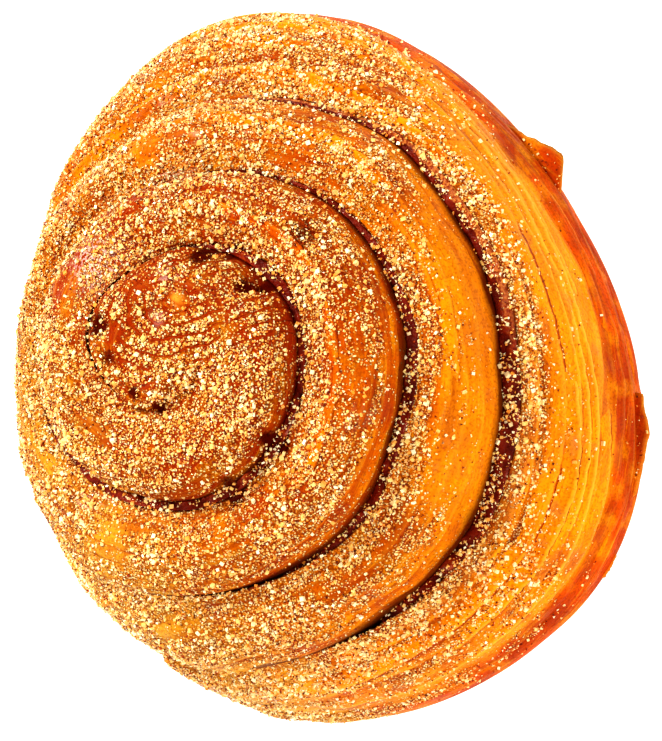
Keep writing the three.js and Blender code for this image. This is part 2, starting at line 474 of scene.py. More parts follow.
def clamp(value: Value) -> Value:
    """A value kept from 0 to 1."""
    return smaller(larger(value, 0.0), 1.0)


def smoothstep(start: float, end: float, value: Value) -> Value:
    """0 before start, 1 after end, and a smooth rise between them."""
    share = clamp((value - start) / (end - start))
    return share * share * (3 - 2 * share)


def between(first: Value, second: Value, share: Value) -> Value:
    """A value on the way from the first to the second."""
    return first + (second - first) * share


def place_between(first: Place, second: Place, share: Value) -> Place:
    """A place on the straight way from the first to the second."""
    return between(first[0], second[0], share), between(first[1], second[1], share)


def apart(first: Place, second: Place) -> Value:
    """How far two places lie apart.

    Args:
        first: a place.
        second: another.

    Returns:
        The distance.
    """
    x = first[0] - second[0]
    y = first[1] - second[1]
    return power(x * x + y * y, 0.5)


def angle_between(first: Value, second: float) -> Value:
    """The difference of two angles, from -pi to pi."""
    turns = (first - second) / TAU
    return (turns - whole(turns)) * TAU


# ---------------------------------------------------------------- the shape rule


@dataclass(frozen=True)
class Bulge:
    """A direction in which the roll stands out, or draws in, by its reach."""

    angle: float
    spread: float
    reach: float

    @classmethod
    def of(cls, angle: float, spread: float, reach: float) -> "Bulge":
        """A bulge from degrees and millimetres."""
        return cls(math.radians(angle), math.radians(spread), reach * MM)


@dataclass(frozen=True)
class Wave:
    """A slow wave along the strip."""

    per_turn: float
    phase: float
    share: float


@dataclass(frozen=True)
class Opening:
    """A stretch of the seam that differs from the rest, by its width, its place or how far it is filled."""

    turn: float
    spread: float
    width: float


@dataclass
class Section:
    """A point of the strip's outside, and what its finish needs to know of it."""

    place: Place
    height: Value
    across: Value
    down: Value
    bare: Value
    distance: Value
    slope: Value
    outward: Place


@dataclass
class SpiralRule:
    """The rule that the whole roll follows. Its sizes may be numbers or a tree's named inputs."""

    axis: tuple[float, float] = (-1.25 * MM, 3.9 * MM)
    first_turn: float = 0.08
    last_turn: float = 4.3
    whole_turn_angle: float = math.radians(-83.5)
    eye_radius: Value = 3.65 * MM
    first_pitch: Value = 15.65 * MM
    pitch_loss: Value = 0.94 * MM
    eye_lean: tuple[float, float] = (-0.3 * MM, 2.7 * MM)
    lean_turns: float = 4.0
    eye_height: Value = 47.6 * MM
    turn_drop: Value = 2.2 * MM
    lowest_shoulder: float = 5 * MM
    crown: Value = 5.4 * MM
    crown_squareness: float = 2.8
    inner_rise: float = 0.2
    crest_across: float = 0.6
    outline_bulges: tuple[Bulge, ...] = (
        Bulge.of(22, 32, 6.2),
        Bulge.of(-48, 40, -4.6),
        Bulge.of(-102, 24, 1.7),
        Bulge.of(-148, 28, -3),
        Bulge.of(112, 40, -7),
    )
    bulge_turns: tuple[float, float] = (2.9, 3.7)
    sags: tuple[Bulge, ...] = (Bulge.of(112, 48, -7),)
    sag_turns: tuple[float, float] = (1.4, 2.8)
    waves: tuple[Wave, ...] = (Wave(1.7, 0.4, 0.55), Wave(3.3, 2.1, 0.45))
    radius_wave: float = 0.5 * MM
    height_wave: float = 0.8 * MM
    bare_ramp: float = 0.07
    belly: float = 1.3 * MM
    crest: float = 0.5
    foot_share: float = 1 / 16
    tail_taper: float = 3.4 * MM
    tail_taper_turns: float = 0.15
    seam_opens: tuple[float, float] = (0.3, 0.45)
    seam_closes: tuple[float, float] = (3.15, 3.23)
    grown_together: float = -0.4 * MM
    seam_width_least: Value = 0.5 * MM
    openings: tuple[Opening, ...] = (
        Opening(0.87, 0.04, 1.0 * MM),
        Opening(0.98, 0.16, 0.5 * MM),
        Opening(1.3, 0.2, 0.9 * MM),
        Opening(2.02, 0.13, 1.3 * MM),
        Opening(2.98, 0.15, 2.4 * MM),
    )
    bridged: tuple[float, float] = (0.5, 0.8)
    bridge_height: float = 0.72
    joins: tuple[Opening, ...] = (Opening(2.38, 0.2, 0.85), Opening(3.19, 0.06, 0.45))
    nudges: tuple[Opening, ...] = (
        Opening(1.0, 0.13, 2.0 * MM),
        Opening(1.25, 0.1, -1.0 * MM),
        Opening(1.75, 0.1, -1.2 * MM),
        Opening(2.02, 0.13, 1.8 * MM),
    )
    eye_hole_radius: float = 2 * MM
    inner_end_ramp: float = 0.12

    def with_inputs(self, recipe: Recipe) -> "SpiralRule":
        """The same rule with its main sizes as a tree's named inputs.

        Args:
            recipe: the tree.

        Returns:
            The rule, for that tree's nodes.
        """
        names = ("eye_radius", "first_pitch", "pitch_loss", "eye_height", "turn_drop", "crown")
        inputs = {
            name: recipe.size(name.replace("_", " ").capitalize(), getattr(self, name))
            for name in names
        }
        return replace(self, **inputs)

    def angle(self, turn: Value) -> Value:
        """The direction from the spiral's axis at a turn."""
        return self.whole_turn_angle - TAU * turn

    def bare_turn_at(self, angle: float) -> float:
        """The last turn that lies in a direction, so where the strip's outer face is bare."""
        past = (self.whole_turn_angle - angle) / TAU
        return past + math.floor(self.last_turn - past)

    def reach_at(self, angle: Value, bulges: tuple[Bulge, ...]) -> Value:
        """How far a list of bulges stands out in a direction.

        Args:
            angle: the direction.
            bulges: the bulges.

        Returns:
            Their reach there.
        """
        total: Value = 0.0
        for bulge in bulges:
            away = angle_between(angle, bulge.angle) / bulge.spread
            total = total + bulge.reach * exponential(0.0 - away * away)
        return total

    def total(self, stretches: tuple[Opening, ...], turn: Value) -> Value:
        """What a list of stretches adds up to at a turn.

        Args:
            stretches: the stretches.
            turn: where along the strip.

        Returns:
            Their widths there, added up.
        """
        total: Value = 0.0
        for stretch in stretches:
            away = (turn - stretch.turn) / stretch.spread
            total = total + stretch.width * exponential(0.0 - away * away)
        return total

    def wave(self, turn: Value, lag: float) -> Value:
        """Slow waves along the strip, from -1 to 1.

        Args:
            turn: where along the strip.
            lag: added to each wave's phase.

        Returns:
            The waves, added up.
        """
        total: Value = 0.0
        for wave in self.waves:
            total = total + wave.share * sine(TAU * wave.per_turn * turn + (wave.phase + lag))
        return total

    def length_to(self, turn: Value) -> Value:
        """The strip's length from the middle of the spiral to a turn."""
        swept = self.eye_radius * turn + self.first_pitch * turn * turn / 2
        return TAU * (swept - self.pitch_loss * turn * turn * turn / 3)

    def seam_radius(self, turn: Value) -> Value:
        """How far a seam lies from the middle.

        Args:
            turn: the seam's turn.

        Returns:
            The distance from the middle.
        """
        wound = self.eye_radius + self.first_pitch * turn - self.pitch_loss * turn * turn
        bulge = self.reach_at(self.angle(turn), self.outline_bulges) * smoothstep(*self.bulge_turns, turn)
        return wound + bulge + self.radius_wave * self.wave(turn, 0) + self.total(self.nudges, turn)

    def seam_height(self, turn: Value) -> Value:
        """How high a seam lies.

        Args:
            turn: the seam's turn.

        Returns:
            The height.
        """
        cone = self.eye_height - self.turn_drop * turn * turn
        sag = self.reach_at(self.angle(turn), self.sags) * smoothstep(*self.sag_turns, turn)
        return larger(cone + sag + self.height_wave * self.wave(turn, math.pi / 2), self.lowest_shoulder)

    def seam_width(self, turn: Value) -> Value:
        """The gap between the strip's turn and its next one.

        Args:
            turn: the seam's turn.

        Returns:
            The width, below 0 where they have grown together.
        """
        opened = smoothstep(*self.seam_opens, turn) - smoothstep(*self.seam_closes, turn)
        wide = self.seam_width_least + self.total(self.openings, turn)
        return between(self.grown_together, wide, opened * clamp(1.3 - 1.6 * self.total(self.joins, turn)))

    def bridge(self, turn: Value) -> Value:
        """How much of the crown's height a seam is filled up to, where the turns have grown together."""
        return self.bridge_height * (1 - smoothstep(*self.bridged, turn)) + self.total(self.joins, turn)

    def middle(self, turn: Value) -> Place:
        """Where the middle of a turn stands."""
        lean = clamp(1 - turn / self.lean_turns)
        return self.axis[0] + self.eye_lean[0] * lean, self.axis[1] + self.eye_lean[1] * lean

    def out_from(self, place: Place, turn: Value, length: Value) -> Place:
        """A place some way out from another, in a turn's direction."""
        angle = self.angle(turn)
        return place[0] + length * cosine(angle), place[1] + length * sine(angle)

    def seam_place(self, turn: Value, beyond: Value) -> Place:
        """A place at some distance beyond a seam."""
        return self.out_from(self.middle(turn), turn, self.seam_radius(turn) + beyond)

    def inner_place(self, turn: Value) -> Place:
        """The strip's inner face: the seam before, or the eye's hole in the first turn.

        Args:
            turn: where along the strip.

        Returns:
            The place.
        """
        eye = self.out_from(self.middle(0.0), turn, self.eye_hole_radius)
        seam_start = 1 + self.first_turn
        before = larger(turn - 1, self.first_turn)
        seam = self.seam_place(before, self.seam_width(before) / 2)
        return place_between(eye, seam, smoothstep(seam_start - self.inner_end_ramp, seam_start, turn))

    def outer_place(self, turn: Value) -> Place:
        """The strip's outer face, pressed thinner at the tail."""
        pressed = self.tail_taper * smoothstep(self.last_turn - self.tail_taper_turns, self.last_turn, turn)
        return self.seam_place(turn, 0.0 - self.seam_width(turn) / 2 - pressed)

    def top_height(self, turn: Value, across: Value) -> Value:
        """The height of the strip's top, some share of the way across it.

        Args:
            turn: where along the strip.
            across: the share of the way, from its inner to its outer face.

        Returns:
            The height.
        """
        inner = self.seam_height(larger(turn - 1, 0.0))
        side = power(absolute(2 * across - 1), self.crown_squareness)
        dome = power(clamp(1 - side), 1 / self.crown_squareness)
        dome = dome * between(self.inner_rise, 1.0, smoothstep(0.0, self.crest_across, across))
        bridged = between(self.bridge(turn - 1), self.bridge(turn), across)
        dome = dome + (1 - dome) * bridged
        return between(inner, self.seam_height(turn), across) + self.crown * dome

    def distance_at(self, turn: Value, level: Value) -> Value:
        """The way over the strip to a level, which is 1 at its outer shoulder and 2 at its foot."""
        top_length = apart(self.outer_place(turn), self.inner_place(turn)) + self.crown
        return top_length * smaller(level, 1.0) + self.seam_height(turn) * larger(level - 1, 0.0)

    def section(self, turn: Value, share: Value = 0.0, distance: Optional[Value] = None) -> Section:
        """A point of the strip's outside.

        Args:
            turn: where along the strip.
            share: how far over its top and, where that is bare, down its outer face.
            distance: the same as a length, which is used instead if it is given.

        Returns:
            The point, before any relief.
        """
        inner = self.inner_place(turn)
        outer = self.outer_place(turn)
        width = apart(outer, inner)
        outward = ((outer[0] - inner[0]) / width, (outer[1] - inner[1]) / width)
        shoulder = self.seam_height(turn)
        bare = smoothstep(self.last_turn - 1 - self.bare_ramp, self.last_turn - 1, turn)
        top_length = width + self.crown
        if distance is None:
            distance = (top_length + bare * shoulder * (1 - self.foot_share)) * share
        along = smaller(distance / top_length, 1.0)
        across = (1 - cosine(math.pi * along)) / 2
        down = clamp((distance - top_length) / shoulder)
        swell = bare * self.belly * sine(math.pi * down)
        place = place_between(inner, outer, across)
        place = (place[0] + outward[0] * swell, place[1] + outward[1] * swell)
        height = self.top_height(turn, across) - shoulder * down
        slope = (math.pi / 2) * smoothstep(self.crest, 1.0, along)
        return Section(place, height, across, down, bare, distance, slope, outward)


@dataclass(frozen=True)
class Spot:
    """A small round place on the crust, in plan."""

    x: float
    y: float
    radius: float

    def share(self, x: Value, y: Value) -> Value:
        """1 at its middle and 0 well outside it."""
        away = apart((x, y), (self.x, self.y)) / self.radius
        return exponential(0.0 - away * away)


@dataclass(frozen=True)
class Pit(Spot):
    """A dark dent in the crust."""

    depth: float
    char: float

    @classmethod
    def of(cls, x: float, y: float, radius: float, depth: float, char: float = 1.0) -> "Pit":
        """A pit from millimetres, and how charred it is."""
        return cls(x * MM, y * MM, radius * MM, depth * MM, char)


PITS = (
    Pit.of(13.1, 3.4, 2.0, 0.7),
    Pit.of(14.2, 0.2, 1.5, 0.6),
    Pit.of(9.8, -4.2, 1.5, 1.0),
    Pit.of(10.8, -6.2, 1.1, 1.6),
    Pit.of(12.3, -5.3, 0.9, 1.3),
    Pit.of(0.6, 16.2, 2.1, 1.1),
    Pit.of(-3.8, 13.2, 1.8, 0.6, 0.7),
    Pit.of(-7.8, 8.4, 1.2, 0.4),
    Pit.of(-9.0, 4.4, 1.0, 0.4),
    Pit.of(-10.8, -12.6, 1.8, 1.2),
    Pit.of(-18.6, -6.8, 1.7, 1.2),
    Pit.of(18.4, -10.0, 4.0, 0.4, 0.6),
)


@dataclass(frozen=True)
class BareStretch:
    """A stretch of the strip whose outer part has little sugar."""

    start_turn: float
    end_turn: float
    start_over: float
    bare: float
    ramp: float = 0.07
    ramp_over: float = 2.5 * MM

    def share(self, turn: Value, over: Value) -> Value:
        """How bare a place is, from 0 to 1.

        Args:
            turn: where along the strip.
            over: how far over it.

        Returns:
            The share.
        """
        along = smoothstep(self.start_turn, self.start_turn + self.ramp, turn)
        along = along * smoothstep(self.end_turn, self.end_turn - self.ramp, turn)
        return along * smoothstep(self.start_over, self.start_over + self.ramp_over, over) * self.bare


BARE_STRETCHES = (
    BareStretch(1.9, 2.12, 6.5 * MM, 0.5),
    BareStretch(2.86, 3.12, 4.5 * MM, 0.75),
    BareStretch(3.8, 4.1, 4.5 * MM, 0.8),
)
BURNISHED_STRETCHES = BARE_STRETCHES[1:]
BEAD = Spot(6.2 * MM, 4.5 * MM, 0.9 * MM)
BEAD_LIFT = 0.5 * MM
# Where a whitish-pink painted highlight is mixed into the crust's colour, under a glossy coat.
GLINT_SPOT = Spot(9.0 * MM, 21.2 * MM, 3.2 * MM)


@dataclass(frozen=True)
class Folds:
    """The leaves folded back on themselves at the eye, whose edges show as nested curves."""

    centre: Place = (6.2 * MM, 4.5 * MM)
    opens: float = math.radians(-60)
    squash: float = 0.7
    pitch: float = 1.9 * MM
    phase: float = 0.6
    half_width: float = 0.12
    half_band: float = 0.21
    reach: float = 10.5 * MM
    last_turn: float = 1.0
    fade: float = 2 * MM
    fade_turns: float = 0.1
    wander: float = 0.9 * MM
    wander_scale: float = 260.0
    strength_scale: float = 170.0

    def away(self, x: Value, y: Value) -> Value:
        """How far a place lies from the middle of the fold.

        Args:
            x: the place's first coordinate.
            y: its second.

        Returns:
            The distance.
        """
        east, north = x - self.centre[0], y - self.centre[1]
        forth = east * math.cos(self.opens) + north * math.sin(self.opens)
        aside = north * math.cos(self.opens) - east * math.sin(self.opens)
        return apart((smaller(forth, 0.0) * self.squash, aside), (0.0, 0.0))

    def lines(self, graph: Graph, place: Socket, turn: Socket, half_width: float) -> Value:
        """Where the edges of the folded leaves show.

        Args:
            graph: the tree.
            place: a point of the crust.
            turn: the strip's turn there.
            half_width: how far from an edge its line reaches, as a share of the pitch.

        Returns:
            The share of a line, from 0 to 1.
        """
        x, y, _ = graph.parts(place)
        drift = graph.noise(place, self.wander_scale, 1.0) - 0.5
        away = self.away(x, y) + drift * self.wander * 2
        from_line = absolute(remainder(away / self.pitch + self.phase) - 0.5)
        strong = smoothstep(0.36, 0.48, graph.noise(place, self.strength_scale, 1.0))
        inside = smoothstep(self.reach, self.reach - self.fade, away)
        inside = inside * (1 - smoothstep(0.0, self.fade_turns, turn - self.last_turn))
        return smoothstep(half_width, half_width / 4, from_line) * inside * strong


FOLDS = Folds()


# ---------------------------------------------------------------- finishes


def srgb(red: int, green: int, blue: int) -> Colour:
    """A colour as a screen shows it, made linear.

    Args:
        red: the red channel, from 0 to 255.
        green: the green one.
        blue: the blue one.

    Returns:
        The linear colour.
    """
    def linear(level: int) -> float:
        """One channel made linear."""
        share = level / 255
        return share / 12.92 if share <= 0.04045 else ((share + 0.055) / 1.055) ** 2.4

    return linear(red), linear(green), linear(blue), 1.0


def new_material(name: str) -> tuple[bpy.types.Material, Graph]:
    """An empty material and its node tree.

    Args:
        name: the material's name.

    Returns:
        The two.
    """
    material = bpy.data.materials.new(name)
    material.use_nodes = True
    material.node_tree.nodes.clear()
    return material, Graph(material.node_tree)


def close_material(graph: Graph, inputs: dict[str, Any]) -> None:
    """Ends a material's tree in one Principled shader.

    Args:
        graph: the material's tree.
        inputs: values or links for the shader's sockets.
    """
    shader = graph.node("ShaderNodeBsdfPrincipled", inputs=inputs)
    end = graph.tree.nodes.new("ShaderNodeOutputMaterial")
    graph.tree.links.new(shader.source, end.inputs["Surface"])


def attribute(graph: Graph, name: str) -> Socket:
    """A value that the piece keeps at each point."""
    return graph.node("ShaderNodeAttribute", {"attribute_name": name}, output="Fac")


@dataclass(frozen=True)
class CrustPoint:
    """What the crust's finish reads at a point: its place, what the piece keeps there, and noise."""

    place: Socket
    x: Socket
    y: Socket
    turn: Socket
    along: Socket
    over: Socket
    down: Socket
    # Where painted shade goes in the folds under the leaves' lips.
    crease: Socket
    # Where a painted highlight goes along the leaves' lips.
    lip: Socket
    seam: Socket
    sugared: Socket
    worn: Socket
    scorched: Socket
    streaks: Socket
    threads: Socket
    mottle: Socket
    patches: Socket
    grain: Socket
    speckle: Socket


@dataclass(frozen=True)
class CrustFinish:
    """Baked laminated dough: red-brown in the core, gold further out, red-orange down the side."""

    core: Colour = srgb(168, 64, 8)
    inner: Colour = srgb(200, 88, 4)
    gold: Colour = srgb(252, 152, 4)
    rim: Colour = srgb(250, 150, 6)
    side_gold: Colour = srgb(250, 148, 8)
    side: Colour = srgb(228, 96, 2)
    foot: Colour = srgb(186, 68, 4)
    slope: Colour = srgb(214, 142, 70)
    pale: Colour = srgb(255, 184, 20)
    # Pale yellow painted highlight along the lips of the leaves' edges.
    lip: Colour = srgb(255, 206, 84)
    deep: Colour = srgb(160, 54, 4)
    cinnamon: Colour = srgb(124, 36, 4)
    blond: Colour = srgb(255, 202, 70)
    burnished: Colour = srgb(255, 168, 24)
    bead: Colour = srgb(246, 160, 60)
    # Whitish-pink painted highlight, mixed in at the glint spot.
    painted_glint: Colour = srgb(250, 218, 214)
    crumb_brown: Colour = srgb(240, 132, 34)
    crumb_gold: Colour = srgb(255, 202, 112)
    crumb_pale: Colour = srgb(255, 246, 196)
    # Dark red-brown at the seams, partly filling soaked into the dough and partly painted shade in the
    # crevices; also the charred pits.
    seam_shade_stain_and_char: Colour = srgb(84, 12, 0)
    turns_shown: float = 4.3
    streak_along: float = 60.0
    streak_across: float = 800.0
    thread_across: float = 3800.0
    mottle_scale: float = 190.0
    patch_scale: float = 75.0
    grain_scale: float = 2600.0
    speckle_scale: float = 2100.0
    crumb_scale: float = 2900.0
    crumb_cover: float = 0.92
    crumb_least: float = 0.22
    # How far from a seam the dark colour reaches, partly painted shade.
    seam_shade_reach: float = 1.7 * MM
    bump_depth: float = 0.3 * MM
    roughness: float = 0.45
    specular: float = 0.07
    specular_tint: Colour = (1.0, 0.6, 0.22, 1.0)
    gloss: float = 0.15
    coat_roughness: float = 0.2

    def _read(self, graph: Graph) -> CrustPoint:
        """Adds the nodes that read what the piece keeps at each point, and the noise.

        Args:
            graph: the material's tree.

        Returns:
            Their outcomes.
        """
        names = ("turn", "along", "over", "down", "crease", "lip", "seam", "sugared", "worn", "scorched")
        kept = {name: attribute(graph, name) for name in names}
        turn, along, over = kept["turn"], kept["along"], kept["over"]
        place = graph.node("ShaderNodeTexCoord", output="Object")
        x, y, _ = graph.parts(place)
        streaked = graph.vector(along * self.streak_along, over * self.streak_across, turn)
        threaded = graph.vector(along * self.streak_along * 2, over * self.thread_across, turn)
        return CrustPoint(
            place=place,
            x=x,
            y=y,
            **kept,
            streaks=graph.noise(streaked, 1.0),
            threads=graph.noise(threaded, 1.0),
            mottle=graph.noise(place, self.mottle_scale, 4.0),
            patches=graph.noise(place, self.patch_scale),
            grain=graph.noise(place, self.grain_scale),
            speckle=graph.noise(place, self.speckle_scale, 1.0),
        )

    def _bake(self, graph: Graph, at: CrustPoint) -> Socket:
        """The baked dough's colour: by turn, down the side, at the tail's slope and at the blond rim.

        Args:
            graph: the material's tree.
            at: what is read at a point.

        Returns:
            The colour.
        """
        shown = at.turn / self.turns_shown + (at.mottle - 0.5) * 0.16
        stops = [
            (0.0, self.core),
            (0.3, self.core),
            (0.42, self.inner),
            (0.56, self.gold),
            (1.0, self.rim),
        ]
        colour = graph.ramp(shown, stops)
        stops = [(0.0, self.side_gold), (0.3, self.side), (0.75, self.foot), (0.95, self.side)]
        walls = graph.ramp(at.down * 0.7 + (at.patches - 0.5) * 1.8 + 0.25, stops)
        colour = graph.mix(smoothstep(0.0, 0.12, at.down), colour, walls)
        sloped = smoothstep(3.9, 3.96, at.turn) * (1 - smoothstep(4.12, 4.18, at.turn))
        sloped = sloped * smoothstep(5.2 * MM, 4.4 * MM, at.over + (at.mottle - 0.5) * 2.0 * MM)
        colour = graph.mix(sloped * 0.7, colour, self.slope)
        colour = graph.mix(at.worn * 0.6, colour, self.deep)
        blond = smoothstep(14 * MM, 30 * MM, (at.y - at.x) * 0.7 + (at.patches - 0.5) * 30 * MM)
        return graph.mix(blond * 0.75, colour, self.blond)

    def _mark(self, graph: Graph, at: CrustPoint, colour: Socket, burnish: Value) -> Socket:
        """Darker and paler patches, streaks along the strip and its burnished stretches.

        Args:
            graph: the material's tree.
            at: what is read at a point.
            colour: the baked dough's colour.
            burnish: the share of a burnished stretch.

        Returns:
            The colour.
        """
        browned = smoothstep(0.47, 0.6, at.patches) * (1 - at.down)
        colour = graph.mix(browned * 0.4, colour, self.deep)
        colour = graph.mix(smoothstep(0.5, 0.68, at.mottle) * 0.55, colour, self.deep)
        colour = graph.mix(smoothstep(0.5, 0.34, at.mottle) * 0.35, colour, self.pale)
        streaked = 0.5 - 0.25 * smoothstep(1.6, 2.4, at.turn)
        colour = graph.mix(smoothstep(0.55, 0.7, at.streaks) * streaked, colour, self.pale)
        colour = graph.mix(smoothstep(0.5, 0.38, at.streaks) * streaked, colour, self.deep)
        colour = graph.mix(smoothstep(0.58, 0.72, at.threads) * 0.3, colour, self.pale)
        colour = graph.mix(smoothstep(0.42, 0.28, at.threads) * 0.35, colour, self.deep)
        colour = graph.mix(burnish * 0.5, colour, self.burnished)
        return graph.mix(smoothstep(0.45, 0.68, at.grain) * 0.35, colour, self.cinnamon)

    def _crumble(self, graph: Graph, at: CrustPoint, cover: Value) -> tuple[Value, Socket]:
        """The finest sugar, too small to be meshed.

        Args:
            graph: the material's tree.
            at: what is read at a point.
            cover: the share of the crust that it covers.

        Returns:
            Where a crumb lies, from 0 to 1, and its colour.
        """
        inputs = {"Vector": at.place, "Scale": self.crumb_scale}
        cells = graph.node("ShaderNodeTexVoronoi", inputs=inputs, output="Color")
        chance, tone, _ = graph.parts(cells)
        crumbs = smoothstep(0.0, 0.08, cover - chance)
        crumbs = crumbs * smoothstep(0.62, 0.35, cells.output("Distance"))
        stops = [(0.0, self.crumb_brown), (0.45, self.crumb_gold), (1.0, self.crumb_pale)]
        return crumbs, graph.ramp(tone, stops)

    def _painted_light_and_stains(self, graph: Graph, at: CrustPoint, colour: Socket) -> Socket:
        """Painted highlights along the leaves' lips, painted shade in the folds under them, dark colour at
        the seams that is partly filling soaked into the dough and partly painted shade, and charred pits.

        Args:
            graph: the material's tree.
            at: what is read at a point.
            colour: the crust's colour under its sugar.

        Returns:
            The colour.
        """
        # Painted highlight along the leaves' lips.
        colour = graph.mix(at.lip * 0.7, colour, self.lip)
        # Painted shade in the folds under the leaves' lips.
        colour = graph.mix(smoothstep(0.3, 1.0, at.crease) * 0.9, colour, self.deep)
        # Darker close to the seams: partly filling soaked in, partly painted shade in the crevices.
        near = smoothstep(self.seam_shade_reach, 0.2 * MM, at.seam + (at.mottle - 0.5) * 2.0 * MM)
        colour = graph.mix(near * 0.85, colour, self.seam_shade_stain_and_char)
        charred = smoothstep(0.25, 0.75, at.scorched + (at.grain - 0.5) * 0.6)
        return graph.mix(charred, colour, self.seam_shade_stain_and_char)

    def build(self) -> bpy.types.Material:
        """Makes the material.

        Returns:
            The material.
        """
        material, graph = new_material("baked_crust")
        at = self._read(graph)
        on_top = 1 - smoothstep(0.0, 0.1, at.down)
        stretches = [stretch.share(at.turn, at.over) for stretch in BURNISHED_STRETCHES]
        burnish = larger(*stretches) * on_top
        lines = FOLDS.lines(graph, at.place, at.turn, FOLDS.half_width)
        dusted = smoothstep(0.03, 0.45, at.sugared)
        crumbed = larger(dusted, self.crumb_least * on_top * (1 - burnish))
        crumbs, crumb = self._crumble(graph, at, crumbed * (1 - lines) * self.crumb_cover)
        # The glint spot: a painted highlight in the colour, and a real glossy coat.
        glint_and_gloss = GLINT_SPOT.share(at.x, at.y) * smoothstep(0.45, 0.6, at.speckle)

        colour = self._mark(graph, at, self._bake(graph, at), burnish)
        cinnamon = dusted * (0.3 + 0.5 * smoothstep(0.42, 0.6, at.speckle))
        colour = graph.mix(cinnamon, colour, self.cinnamon)
        colour = graph.mix(crumbs * 0.9, colour, crumb)
        colour = graph.mix(lines * 0.8, colour, self.deep)
        colour = graph.mix(BEAD.share(at.x, at.y), colour, self.bead)
        # Painted highlight at the glint spot.
        colour = graph.mix(glint_and_gloss * 0.9, colour, self.painted_glint)
        colour = self._painted_light_and_stains(graph, at, colour)

        height = at.streaks * 0.4 + at.threads * 0.3 + at.grain * 0.3 + crumbs * 0.8 - lines * 0.6
        inputs = {"Strength": 0.9, "Distance": self.bump_depth, "Height": height}
        glossy = self.gloss * smoothstep(0.5, 0.65, at.mottle) * (1 - at.down)
        close_material(graph, {
            "Base Color": colour,
            "Roughness": self.roughness + (at.grain - 0.5) * 0.3,
            "Specular IOR Level": self.specular,
            "Specular Tint": self.specular_tint,
            "Coat Weight": glossy + glint_and_gloss * 0.6,
            "Coat Roughness": self.coat_roughness,
            "Normal": graph.node("ShaderNodeBump", inputs=inputs),
        })
        return material


@dataclass(frozen=True)
class FillingFinish:
    """Dark sticky cinnamon paste with amber thin places, and a dry pale skin along part of a seam."""

    dark: Colour = srgb(88, 14, 2)
    brown: Colour = srgb(138, 36, 2)
    amber: Colour = srgb(222, 104, 16)
    skin_dark: Colour = srgb(150, 64, 16)
    skin_pale: Colour = srgb(212, 138, 70)
    patch_scale: float = 420.0
    grain_scale: float = 2400.0
    bump_depth: float = 0.3 * MM

    def build(self) -> bpy.types.Material:
        """Makes the material.

        Returns:
            The material.
        """
        material, graph = new_material("cinnamon_paste")
        place = graph.node("ShaderNodeTexCoord", output="Object")
        patches = graph.noise(place, self.patch_scale, 3.0)
        grain = graph.noise(place, self.grain_scale, 2.0)
        stops = [(0.35, self.dark), (0.6, self.brown), (0.85, self.amber)]
        colour = graph.ramp(patches * 0.8 + grain * 0.2, stops)
        turn, side = attribute(graph, "turn"), attribute(graph, "side")
        skin = smoothstep(0.45, 0.6, side + (patches - 0.5) * 0.8)
        skin = skin * (smoothstep(2.6, 2.7, turn) - smoothstep(2.92, 3.0, turn))
        skin_tone = graph.ramp(grain, [(0.4, self.skin_dark), (0.6, self.skin_pale)])
        colour = graph.mix(skin * 0.85, colour, skin_tone)
        inputs = {"Strength": 0.8, "Distance": self.bump_depth, "Height": grain}
        close_material(graph, {
            "Base Color": colour,
            "Roughness": 0.25 + grain * 0.35,
            "Specular IOR Level": 0.2,
            "Coat Weight": smoothstep(0.5, 0.65, patches) * 0.3,
            "Coat Roughness": 0.08,
            "Normal": graph.node("ShaderNodeBump", inputs=inputs),
        })
        return material


@dataclass(frozen=True)
class GrainFinish:
    """Loose grains, each with a tint of its own."""

    name: str
    darkest: Colour
    middle: Colour
    palest: Colour
    roughness: float
    gloss: float
    cloud_scale: float = 1800.0

    def build(self) -> bpy.types.Material:
        """Makes the material.

        Returns:
            The material.
        """
        material, graph = new_material(self.name)
        tint = attribute(graph, "tint")
        place = graph.node("ShaderNodeTexCoord", output="Object")
        cloud = graph.noise(place, self.cloud_scale)
        stops = [(0.0, self.darkest), (0.5, self.middle), (1.0, self.palest)]
        close_material(graph, {
            "Base Color": graph.ramp(tint + (cloud - 0.5) * 0.3, stops),
            "Roughness": self.roughness + (cloud - 0.5) * 0.2,
            "Coat Weight": self.gloss,
            "Coat Roughness": 0.1,
        })
        return material


SUGAR = GrainFinish(
    name="golden_sugar",
    darkest=srgb(248, 164, 60),
    middle=srgb(255, 222, 142),
    palest=srgb(255, 251, 220),
    roughness=0.3,
    gloss=0.3,
)
CINNAMON = GrainFinish(
    name="cinnamon_dust",
    darkest=srgb(92, 16, 0),
    middle=srgb(150, 46, 2),
    palest=srgb(196, 84, 8),
    roughness=0.75,
    gloss=0.0,
)


# ---------------------------------------------------------------- pieces


def add_object(name: str, data: Any) -> bpy.types.Object:
    """Adds an object at the origin to the scene.

    Args:
        name: the object's name.
        data: its mesh, camera or light.

    Returns:
        The object.
    """
    made = bpy.data.objects.new(name, data)
    bpy.context.scene.collection.objects.link(made)
    return made


def shade_smooth(piece: bpy.types.Object) -> None:
    """Smooths the shading of all of a piece's faces."""
    piece.data.shade_smooth()


def keep_one_material(mesh: bpy.types.Mesh) -> None:
    """Leaves a mesh only the last of its materials, which all of its faces take.

    Args:
        mesh: the mesh, changed in place.
    """
    material = mesh.materials[-1]
    mesh.materials.clear()
    mesh.materials.append(material)
    for face in mesh.polygons:
        face.material_index = 0


